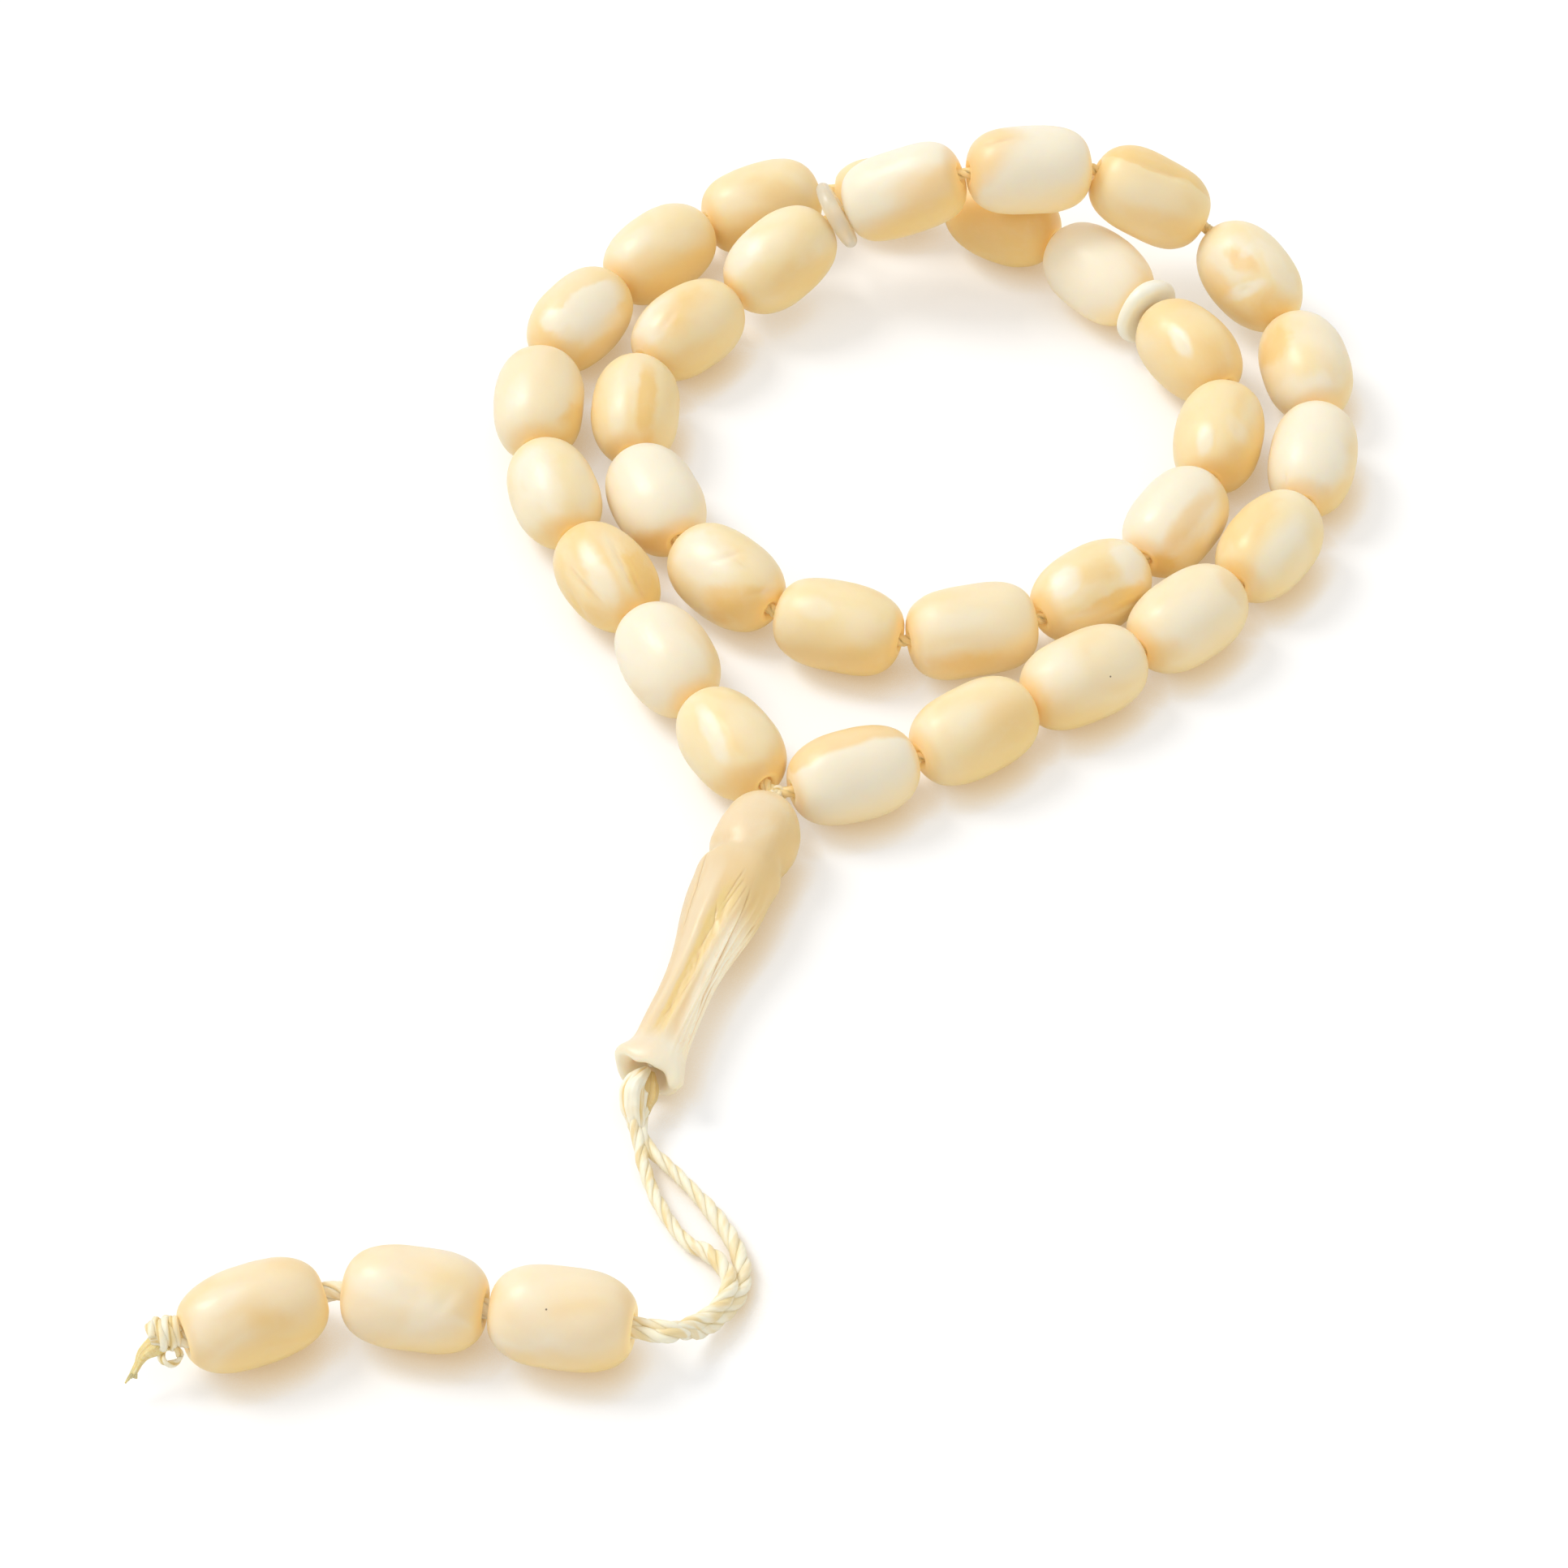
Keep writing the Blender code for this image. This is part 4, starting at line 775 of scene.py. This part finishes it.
    # short slanting creases where the cord shows through, and long ones down the right flank
    thin = None
    for s0, w0, s1, w1, wide, deep in CREASES[:16]:
        at = n.math("ADD", n.math("MULTIPLY", n.math("SUBTRACT", s, s0), (w1 - w0) / (s1 - s0)), float(w0))
        off = n.math("ABSOLUTE", n.math("SUBTRACT", n.math("ADD", w, n.math("MULTIPLY", wob, 0.10)), at))
        one = n.math("MULTIPLY", n.ramp(off, wide * 1.1, wide * 0.2, 0.0, deep * 10.0), n.math("MULTIPLY", n.ramp(s, s0 - 0.6, s0 + 0.6), n.ramp(s, s1 + 0.6, s1 - 0.6)))
        thin = one if thin is None else n.math("MAXIMUM", thin, one)
    colour = n.mix(n.math("MULTIPLY", thin, 0.45), colour, (0.62, 0.42, 0.16))
    ridge = n.ramp(n.math("ABSOLUTE", n.math("SUBTRACT", line, 0.5)), 0.03, 0.0)
    ridge = n.math("MULTIPLY", ridge, band(58, 30, 10, 15.0, 32.0, 2.0))
    colour = n.mix(n.math("MULTIPLY", ridge, 0.40), colour, (0.80, 0.62, 0.34))
    colour, away = painted_far_side_shade(n, colour, 0.30)
    # painted shade: where the surface faces the lamp its colour is darkened towards amber
    lit = n.vmath("DOT_PRODUCT", n.add("ShaderNodeNewGeometry").outputs["Normal"], tuple(unit(KEY)))
    colour = n.mix(n.ramp(lit, 0.25, 0.95, 0.0, 0.38), colour, (0.74, 0.57, 0.345))      # less light comes back from a clear piece than from a milky one
    n.link(colour, n.shader.inputs["Base Color"])
    n.link(colour, n.shader.inputs["Emission Color"])
    # painted glow down the right flank, on the side away from the lamp and a little everywhere, for light coming
    # through the body
    through = n.math("MULTIPLY", band(62, 34, 26, 15.0, 33.0, 3.0), 0.10)
    n.link(n.math("ADD", n.math("ADD", 0.01, through), n.math("MULTIPLY", away, 0.06)), n.shader.inputs["Emission Strength"])
    n.link(n.ramp(long_, 0.3, 0.7, 0.34, 0.42), n.shader.inputs["Roughness"])
    n.shader.inputs["Subsurface Weight"].default_value = 1.0
    n.shader.inputs["Subsurface Radius"].default_value = (1.0, 0.85, 0.65)
    n.shader.inputs["Subsurface Scale"].default_value = 0.0008
    n.shader.inputs["Coat Weight"].default_value = 0.30
    n.shader.inputs["Coat Roughness"].default_value = 0.34
    normal = n.bump(line, 0.12, 0.0003)
    n.link(normal, n.shader.inputs["Normal"])
    obj.data.materials.append(n.mat)
    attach(obj, "imame")
    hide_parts("imame")


# ---------------------------------------------------------------- cord
def spline(points, step):
    """Centripetal Catmull-Rom curve through the points, in steps of about the given length."""
    p = [arr(q) for q in points]
    p = [2 * p[0] - p[1]] + p + [2 * p[-1] - p[-2]]
    out = []
    for a, b, c, d in zip(p, p[1:], p[2:], p[3:]):
        t = [0.0]
        for u, v in ((a, b), (b, c), (c, d)):
            t.append(t[-1] + math.sqrt(np.linalg.norm(v - u)))
        n = max(2, int(np.linalg.norm(c - b) / step))
        for k in range(n):
            x = t[1] + (t[2] - t[1]) * k / n
            a1 = (t[1] - x) / (t[1] - t[0]) * a + (x - t[0]) / (t[1] - t[0]) * b
            a2 = (t[2] - x) / (t[2] - t[1]) * b + (x - t[1]) / (t[2] - t[1]) * c
            a3 = (t[3] - x) / (t[3] - t[2]) * c + (x - t[2]) / (t[3] - t[2]) * d
            b1 = (t[2] - x) / (t[2] - t[0]) * a1 + (x - t[0]) / (t[2] - t[0]) * a2
            b2 = (t[3] - x) / (t[3] - t[1]) * a2 + (x - t[1]) / (t[3] - t[1]) * a3
            out.append((t[2] - x) / (t[2] - t[1]) * b1 + (x - t[1]) / (t[2] - t[1]) * b2)
    out.append(p[-2])
    return np.array(out)


def yarn(name, line, radius, plies=3, pitch=6.0, sides=10, seed=0.0, thick=0.60, out=0.44, phase=0.0, hairs=0):
    """A twisted cord along a line of points (mm). radius may vary along it. Each ply is its own closed tube."""
    line = np.asarray(line, float)
    n = len(line)
    rad = np.full(n, radius) if np.isscalar(radius) else np.asarray(radius, float)
    tang = np.gradient(line, axis=0)
    tang /= np.linalg.norm(tang, axis=1)[:, None]
    length = np.concatenate([[0.0], np.cumsum(np.linalg.norm(np.diff(line, axis=0), axis=1))])
    side = np.cross(tang[0], (0.0, 0.0, 1.0))
    if np.linalg.norm(side) < 1e-3:
        side = np.cross(tang[0], (1.0, 0.0, 0.0))
    side /= np.linalg.norm(side)
    verts, faces, uv = [], [], []
    sides_at = []
    for i in range(n):
        side = side - tang[i] * (side @ tang[i])
        side /= np.linalg.norm(side)
        sides_at.append((side, np.cross(tang[i], side)))
    for p in range(plies):
        first = len(verts)
        for i in range(n):
            u, v = sides_at[i]
            ang = phase + 2 * math.pi * (p / plies + length[i] / pitch)
            wob = noise.noise(Vector((length[i] * 0.35 + seed, p * 3.3, 0.0)))
            r = rad[i] * (1 + 0.07 * wob)
            o = u * math.cos(ang) + v * math.sin(ang)
            q = v * math.cos(ang) - u * math.sin(ang)
            mid = line[i] + o * r * out
            for k in range(sides):
                a = 2 * math.pi * k / sides
                bulge = thick * r * (1 + 0.05 * noise.noise(Vector((length[i] * 0.9, a * 1.3 + seed, p * 1.7))))
                if hairs:
                    bulge *= 1 + 0.035 * math.cos(hairs * a - length[i] * 2.6 + p) * (0.6 + noise.noise(Vector((length[i] * 0.7, a + p, seed))))
                verts.append((mid + o * math.cos(a) * bulge + q * math.sin(a) * bulge * 1.12) * MM)
                uv.append((length[i] + p * 13.0 + seed, 0.5 + (a / (2 * math.pi) if a <= math.pi else a / (2 * math.pi) - 1.0)))
        for i in range(n - 1):
            for k in range(sides):
                j = (k + 1) % sides
                a, b = first + i * sides, first + (i + 1) * sides
                faces.append((a + k, a + j, b + j, b + k))
        faces.append(tuple(first + k for k in reversed(range(sides))))
        faces.append(tuple(first + (n - 1) * sides + k for k in range(sides)))
    obj = grid_object(name, verts, faces, uv)
    return obj


def dress(obj, mat, node):
    obj.data.materials.append(mat)
    return obj


def bore_path(names, lead=0.9):
    """Middle of the bores, straight inside each bead and bending between them."""
    path = []
    for i, name in enumerate(names):
        c, t = PLACE[name]
        h = 0.0 if name.startswith("separator") else BEAD_L / 2 - lead
        if i:
            pc, pt = PLACE[names[i - 1]]
            ph = 0.8 if names[i - 1].startswith("separator") else BEAD_L / 2
            nh = 0.8 if name.startswith("separator") else BEAD_L / 2
            path.append(((pc + pt * ph) + (c - t * nh)) / 2)
        if h:
            path += [c - t * h, c, c + t * h]
        else:
            path.append(c)
    return path


def gap_between(a, b):
    ca, ta = PLACE[a]
    cb, tb = PLACE[b]
    return (ca + ta * BEAD_L / 2 + cb - tb * BEAD_L / 2) / 2


def make_coil_cord(mat):
    right, left = ORDER[:8], ORDER[27:]
    p_right = gap_between(ORDER[7], ORDER[8])
    p_left = gap_between(ORDER[26], ORDER[27])
    path = [p_right] + bore_path(INNER) + [p_left]
    obj = yarn("yarn_inner_turn", spline(path, 0.7), 0.62, sides=6, pitch=3.6, seed=1.0)
    dress(obj, mat, "cord_inner_turn")
    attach(obj, "inner_turn")
    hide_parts("cord_inner_turn")
    path = [JOIN] + bore_path(right) + [p_right]
    obj = yarn("yarn_outer_right", spline(path, 0.7), 0.62, sides=6, pitch=3.6, seed=2.0)
    dress(obj, mat, "cord_outer_right")
    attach(obj, "outer_turn")
    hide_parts("cord_outer_right")
    path = [p_left] + bore_path(left) + [JOIN]
    obj = yarn("yarn_outer_left", spline(path, 0.7), 0.62, sides=6, pitch=3.6, seed=3.0)
    dress(obj, mat, "cord_outer_left")
    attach(obj, "outer_turn")
    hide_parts("cord_outer_left")


def knot_curve(centre, size, lean, turn, n=150):
    """An overhand knot drawn tight: a trefoil, squeezed to the given half sizes along lean, across it and up."""
    x = unit(lean)
    z = unit(np.array((0, 0, 1.0)) - x * x[2])
    y = np.cross(z, x)
    pts = []
    for i in range(n):
        a = 2 * math.pi * i / n + turn
        p = ((math.sin(a) + 2 * math.sin(2 * a)) / 3, (math.cos(a) - 2 * math.cos(2 * a)) / 3, -math.sin(3 * a))
        pts.append(centre + x * p[0] * size[0] + y * p[1] * size[1] + z * p[2] * size[2])
    pts.append(pts[0])
    return np.array(pts)


def make_head_cord(mat):
    """Where both strands enter the imame, and the cord inside it down to its foot."""
    c, t = PLACE["imame"]
    top, foot = c - t * IMAME_L / 2, c + t * IMAME_L / 2
    obj = yarn("yarn_yoke", knot_curve(JOIN, (0.62, 0.62, 0.35), t, 0.3, 60), 0.42, plies=2, sides=8, pitch=2.4, seed=5.0)
    dress(obj, mat, "cord_yoke")
    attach(obj, "yoke")
    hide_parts("cord_yoke")
    path = [JOIN, top + t * 0.5, top + t * 6, c, foot - t * 4, KNOT - t * 2.4]
    line = spline(path, 0.6)
    far = np.linalg.norm(line - JOIN, axis=1)
    rad = np.interp(far, [0.0, 2.0, 4.0, 60.0], [0.75, 0.85, 1.0, 1.0]) * np.interp(far.max() - far, [0.0, 2.2, 60.0], [0.50, 1.0, 1.0])
    obj = yarn("yarn_imame", line, rad, plies=4, sides=8, pitch=7.0, seed=6.0)
    dress(obj, mat, "cord_imame")
    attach(obj, "imame_cord")
    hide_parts("cord_imame")


def tuft(name, line, wide, deep, seed, around=72):
    """A lock of silk lying along a line, folded lengthwise; wide and deep are its half sizes across the view and along it."""
    tang = np.gradient(line, axis=0)
    tang /= np.linalg.norm(tang, axis=1)[:, None]
    verts, faces, uv = [], [], []
    length = np.concatenate([[0.0], np.cumsum(np.linalg.norm(np.diff(line, axis=0), axis=1))])
    for i, (p, t) in enumerate(zip(line, tang)):
        across = unit(np.cross(t, CAM_FORWARD))
        out = np.cross(across, t)
        s = length[i]
        for k in range(around):
            a = 2 * math.pi * k / around
            fold = 0.13 * math.cos(3 * a + 0.5 * s + seed) + 0.07 * math.cos(7 * a - 0.7 * s + 2 * seed) + 0.035 * math.cos(17 * a + 0.9 * s)
            fold += 0.16 * noise.noise(Vector((math.cos(a) * 1.3 + seed, math.sin(a) * 1.3, s * 0.55)))
            verts.append((p + across * math.cos(a) * wide[i] * (1 + fold) + out * math.sin(a) * deep[i] * (1 + fold)) * MM)
            uv.append((s + seed, 0.5 + max(0.0, min(0.49, 0.10 - 1.4 * fold))))
    n = len(line)
    for i in range(n - 1):
        for k in range(around):
            j = (k + 1) % around
            faces.append((i * around + k, i * around + j, (i + 1) * around + j, (i + 1) * around + k))
    faces.append(tuple(reversed(range(around))))
    faces.append(tuple((n - 1) * around + k for k in range(around)))
    obj = grid_object(name, verts, faces, uv)
    outward(obj)
    return obj


def lying(points):
    """Way points given from the join, as (right, away, height) in mm."""
    return [np.array((JOIN[0] + x, JOIN[1] + y, z)) for x, y, z in points]


def make_tail_cord(mat, mat_gold):
    c1, t1 = PLACE["tail_bead_1"]
    c2, t2 = PLACE["tail_bead_2"]
    c3, t3 = PLACE["tail_bead_3"]
    ci, ti = PLACE["imame"]
    a1 = c1 - t1 * TAIL_L / 2
    # the knot: a pale fold of silk over a golden one painted darker as shade, both narrowing to where the strands leave
    for name, way, wide, deep, mat_, ring in (
        ("silk_fold_pale", [(-11.90, -33.2, 3.70), (-12.45, -34.2, 3.95), (-13.05, -35.4, 3.85), (-13.12, -36.8, 3.0), (-12.85, -38.3, 2.1), (-12.6, -39.4, 1.6)],
         [0.40, 0.86, 1.18, 1.12, 0.86, 0.40], [0.35, 0.72, 0.90, 0.80, 0.60, 0.35], SILK_SHEET, 3.0),
        ("silk_fold_gold", [(-11.60, -33.2, 3.25), (-11.68, -34.2, 3.15), (-11.78, -35.1, 2.75), (-12.2, -36.4, 2.2), (-12.5, -37.9, 1.6)],
         [0.35, 0.82, 0.95, 0.74, 0.35], [0.35, 0.72, 0.85, 0.65, 0.35], SILK_FOLD_SHADE, 7.0),
    ):
        line = spline(lying(way), 0.13)
        u = np.linspace(0, 1, len(line))
        k = np.linspace(0, 1, len(wide))
        obj = tuft(name, line, np.interp(u, k, wide), np.interp(u, k, deep), ring)
        dress(obj, mat_, "cord_tail_upper")
        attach(obj, "tail_upper")
        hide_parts("cord_tail_upper")
    # two strands: from the knot, round the eye, and side by side into the first tail bead
    across = unit(np.cross(t1, (0, 0, 1.0)))
    lead = [a1 - t1 * 2.9, a1 - t1 * 1.4]
    left = lying([(-12.72, -34.3, 3.6), (-13.1, -35.9, 3.1), (-13.25, -37.0, 2.6), (-13.1, -38.3, 2.2), (-12.65, -39.7, 1.7), (-12.15, -42.1, 1.15), (-10.7, -46.5, 0.88), (-8.06, -50.95, 0.88), (-6.2, -52.3, 1.1), (-4.86, -53.97, 1.5), (-4.11, -55.93, 1.7), (-4.53, -58.14, 2.0), (-5.82, -60.23, 2.4), (-7.47, -61.74, 3.0)])
    right = lying([(-12.0, -34.3, 3.0), (-11.95, -35.7, 2.6), (-12.15, -37.0, 2.2), (-12.4, -38.5, 1.7), (-11.84, -40.1, 1.2), (-9.11, -43.21, 0.95), (-5.87, -47.43, 0.86), (-3.93, -50.75, 0.86), (-2.95, -53.86, 0.86), (-3.16, -56.61, 0.9), (-4.53, -59.18, 1.2), (-6.76, -61.57, 1.9)])
    for k, (way, sgn) in enumerate(((left, -1.0), (right, 1.0))):
        way = way + [q + across * 0.50 * sgn for q in lead]
        way += [a1 + t1 * 0.8 + across * 0.46 * sgn, a1 + t1 * 4.0 + across * 0.44 * sgn, c1 + t1 * 1.0 + across * 0.44 * sgn]
        line = spline(way, 0.20)
        inside = ((line - a1) @ t1) > -3.4
        rad = np.where(inside, 0.62, 0.80)
        for _ in range(40):
            rad[1:-1] = rad[1:-1] * 0.5 + (rad[:-2] + rad[2:]) * 0.25
        near = np.linalg.norm(line - KNOT, axis=1)
        rad *= np.interp(near, [0.0, 1.5, 4.0], [0.55, 0.8, 1.0])
        obj = yarn("yarn_strand_%s" % ("left", "right")[k], line, rad, plies=3, pitch=6.2, sides=20, seed=10.0 + k, phase=1.1 * k, hairs=5)
        dress(obj, mat if k else mat_gold, "cord_tail_upper")
        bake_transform(obj)
        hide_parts("cord_tail_upper", "cord_tail_lower")
    # inside the first and second beads, and the bare length before the last
    for k, (name, a, b, pivot, ba, bb, node) in enumerate((
        ("yarn_first_to_second", c1 - t1 * 1.5, c2 + t2 * 0.5, BEND_4, "tail_lower", "tail_mid", "cord_tail_mid"),
        ("yarn_second_to_last", c2 - t2 * 0.5, c3 + t3 * 0.5, BEND_5, "tail_mid", "tail_end", "cord_tail_mid"),
    )):
        line = spline([a, (a + pivot) / 2, pivot, (b + pivot) / 2, b], 0.3)
        obj = yarn(name, line, 0.94, plies=4, pitch=7.5, sides=9, seed=20.0 + k, thick=0.56, out=0.46)
        dress(obj, mat_gold if k else mat, node)
        d = unit(b - a) * 2.2
        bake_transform(obj)
        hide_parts(node)
    # stop knot with its loop and frayed end
    b3 = c3 + t3 * TAIL_L / 2
    stop = b3 + t3 * 1.75 + np.array((0.0, 0.75, 0.60))
    obj = yarn("yarn_last_bead", spline([c3 - t3 * 0.5, c3 + t3 * 3, b3, stop], 0.3), 0.92, plies=4, pitch=7.0, sides=9, seed=30.0)
    dress(obj, mat, "cord_tail_end")
    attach(obj, "tail_end")
    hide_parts("cord_tail_end")
    # the stop knot: three turns drawn tight round a bunched core
    up = np.array((0.0, 0.0, 1.0))
    side = unit(np.cross(t3, up))
    turns = []
    for i in range(91):
        a = 2 * math.pi * i / 28 + 0.8
        fat = 1.02 + 0.20 * math.sin(math.pi * i / 90) + 0.08 * math.sin(i * 0.61)
        turns.append(stop + t3 * (-1.15 + 2.3 * i / 90 + 0.22 * math.sin(a)) + side * math.cos(a) * fat + up * math.sin(a) * fat)
    obj = yarn("yarn_stop_knot", np.array(turns), 0.50, plies=2, sides=14, pitch=6.5, seed=31.0, hairs=4)
    dress(obj, mat, "cord_tail_end")
    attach(obj, "tail_end")
    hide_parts("cord_tail_end")
    line = spline([stop - t3 * 1.4, stop, stop + t3 * 1.5], 0.12)
    obj = tuft("silk_stop_core", line, np.interp(np.linspace(0, 1, len(line)), [0, 0.3, 0.7, 1], [0.6, 1.05, 1.05, 0.5]), np.interp(np.linspace(0, 1, len(line)), [0, 0.3, 0.7, 1], [0.6, 1.0, 1.0, 0.5]), 5.0)
    dress(obj, SILK_SHEET, "cord_tail_end")
    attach(obj, "tail_end")
    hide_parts("cord_tail_end")
    # little bight hanging below the knot
    ring = []
    c = stop + CAM_RIGHT * 0.45 - CAM_UP * 1.95
    for i in range(41):
        a = 2 * math.pi * i / 40
        ring.append(c + CAM_RIGHT * math.cos(a) * 0.82 + CAM_UP * math.sin(a) * 0.78 - CAM_FORWARD * 0.25 * math.sin(2 * a))
    obj = yarn("yarn_bight", np.array(ring), 0.36, plies=2, sides=12, pitch=3.0, seed=32.0)
    dress(obj, mat_gold, "cord_tail_end")
    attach(obj, "tail_end")
    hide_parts("cord_tail_end")
    # the cut end: a bunched amber lock that thins out, with a few loose yarns at its tip
    way = [stop + CAM_RIGHT * x + CAM_UP * y for x, y in ((-0.1, -0.7), (-0.95, -1.2), (-1.9, -1.9), (-2.45, -2.8), (-2.9, -3.6))]
    line = spline(way, 0.12)
    u = np.linspace(0, 1, len(line))
    obj = tuft("silk_cut_end", line, np.interp(u, [0, 0.25, 0.5, 0.75, 1], [0.9, 0.95, 0.60, 0.34, 0.30]), np.interp(u, [0, 0.25, 0.5, 0.75, 1], [0.6, 0.60, 0.40, 0.28, 0.22]), 9.0)
    dress(obj, MAT_FRAY, "cord_tail_end")
    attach(obj, "tail_end")
    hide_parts("cord_tail_end")
    for k in range(5):
        s = k - 2
        line = spline([stop + CAM_RIGHT * x + CAM_UP * y for x, y in ((-2.35 + 0.03 * s, -2.7), (-2.8 + 0.10 * s, -3.45 + 0.03 * s), (-3.1 + 0.24 * s, -4.0 - 0.06 * s * s + 0.10 * s))], 0.15)
        obj = yarn("yarn_fray_%d" % k, line, np.linspace(0.20, 0.12, len(line)), plies=2, sides=8, pitch=3.2, seed=40.0 + k)
        dress(obj, MAT_FRAY, "cord_tail_end")
        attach(obj, "tail_end")
        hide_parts("cord_tail_end")


def fray_material():
    n = Nodes("yarn_frayed")
    uv = n.add("ShaderNodeUVMap", uv_map="yarn").outputs["UV"]
    fibre = n.noise(n.vmath("MULTIPLY", uv, (0.8, 14.0, 1.0)), 2.0, 4.0, 0.7)
    colour = n.mix(n.ramp(fibre, 0.3, 0.7), (0.80, 0.60, 0.20), (0.93, 0.82, 0.48))
    n.link(colour, n.shader.inputs["Base Color"])
    n.shader.inputs["Roughness"].default_value = 0.45
    n.shader.inputs["Subsurface Weight"].default_value = 0.4
    n.shader.inputs["Subsurface Radius"].default_value = (1.0, 0.7, 0.3)
    n.shader.inputs["Subsurface Scale"].default_value = 0.0004
    n.link(n.bump(fibre, 0.5, 0.00008), n.shader.inputs["Normal"])
    return n.mat


# ---------------------------------------------------------------- stage
SKY, SKY_MIRRORED, SUN, FLOOR_WHITE, FLOOR_GLOW, FLOOR_FILL = 0.77, 0.85, 1.28, 0.67, 0.37, 0.15


def make_stage():
    bpy.ops.mesh.primitive_plane_add(size=6.0, location=(0, 0, 0))
    floor = bpy.context.active_object
    floor.name = "floor"
    n = Nodes("floor")
    # white paper: it glows a little towards the eye so that the shadows stay light, and has a warm painted shadow right
    # under the resin on the side away from the lamp
    ao = n.add("ShaderNodeAmbientOcclusion", samples=4)
    ao.inputs["Distance"].default_value = 0.0038
    back = n.add("ShaderNodeCombineXYZ")                 # looks back towards the lamp, so only the shaded side counts
    for k, value in enumerate(unit((-0.62, 0.42, 0.42))):
        back.inputs[k].default_value = value
    n.link(back.outputs[0], ao.inputs["Normal"])
    near = n.ramp(ao.outputs["AO"], 0.80, 0.25, 0.0, 1.0)
    tint = n.mix(near, (1.0, 1.0, 1.0), (0.83, 0.665, 0.42))
    n.shader.inputs["Roughness"].default_value = 0.9
    n.shader.inputs["Specular IOR Level"].default_value = 0.1
    paths = n.add("ShaderNodeLightPath")
    n.link(tint, n.shader.inputs["Emission Color"])
    n.link(n.ramp(paths.outputs["Is Camera Ray"], 0.0, 1.0, FLOOR_FILL, FLOOR_GLOW, False), n.shader.inputs["Emission Strength"])
    base = n.add("ShaderNodeMix", data_type="RGBA", blend_type="MULTIPLY")
    base.inputs["Factor"].default_value = 1.0
    n.link(tint, base.inputs[6])
    base.inputs[7].default_value = (FLOOR_WHITE, FLOOR_WHITE, FLOOR_WHITE, 1.0)
    n.link(base.outputs[2], n.shader.inputs["Base Color"])
    floor.data.materials.append(n.mat)
    world = bpy.data.worlds.new("studio")
    bpy.context.scene.world = world
    world.use_nodes = True
    tree = world.node_tree
    back = tree.nodes["Background"]
    back.inputs["Color"].default_value = (1.0, 1.0, 1.0, 1.0)
    paths = tree.nodes.new("ShaderNodeLightPath")
    level = tree.nodes.new("ShaderNodeMapRange")
    tree.links.new(paths.outputs["Is Glossy Ray"], level.inputs["Value"])
    level.inputs["To Min"].default_value = SKY
    level.inputs["To Max"].default_value = SKY_MIRRORED
    seen = tree.nodes.new("ShaderNodeMapRange")          # past the edge of the floor the camera sees the same white
    tree.links.new(paths.outputs["Is Camera Ray"], seen.inputs["Value"])
    tree.links.new(level.outputs["Result"], seen.inputs["To Min"])
    seen.inputs["To Max"].default_value = 1.0
    tree.links.new(seen.outputs["Result"], back.inputs["Strength"])
    key = bpy.data.lights.new("key", "SUN")
    key.energy = SUN
    key.angle = math.radians(24)
    key.color = (1.0, 0.985, 0.96)
    obj = bpy.data.objects.new("key", key)
    bpy.context.scene.collection.objects.link(obj)
    obj.rotation_euler = Vector(KEY).normalized().to_track_quat("Z", "Y").to_euler()
    scene = bpy.context.scene
    scene.view_settings.view_transform = "Standard"
    scene.view_settings.look = "None"
    scene.view_settings.exposure = 0.0


make_stage()
make_camera()
SILK = silk("silk_yarn", 0.50)
SILK_GOLD = silk("silk_yarn_warm", 0.75)
# the cord inside the coil: its gold colour and its glow are painted light, for what reaches it through the beads
SILK_CORE_PAINTED_GLOW = silk("silk_yarn_core", 0.60, (0.90, 0.68, 0.32), 0.10)
SILK_SHEET = silk("silk_fold", 0.20, (0.955, 0.885, 0.72), 0.05, True)
# the golden fold under the pale one: its darker colour is painted shade
SILK_FOLD_SHADE = silk("silk_fold_deep", 0.80, (0.76, 0.55, 0.22), 0.02, True)
MAT_FRAY = fray_material()
make_beads()
make_separators()
make_imame()
make_coil_cord(SILK_CORE_PAINTED_GLOW)
make_head_cord(SILK)
make_tail_cord(SILK, SILK_GOLD)
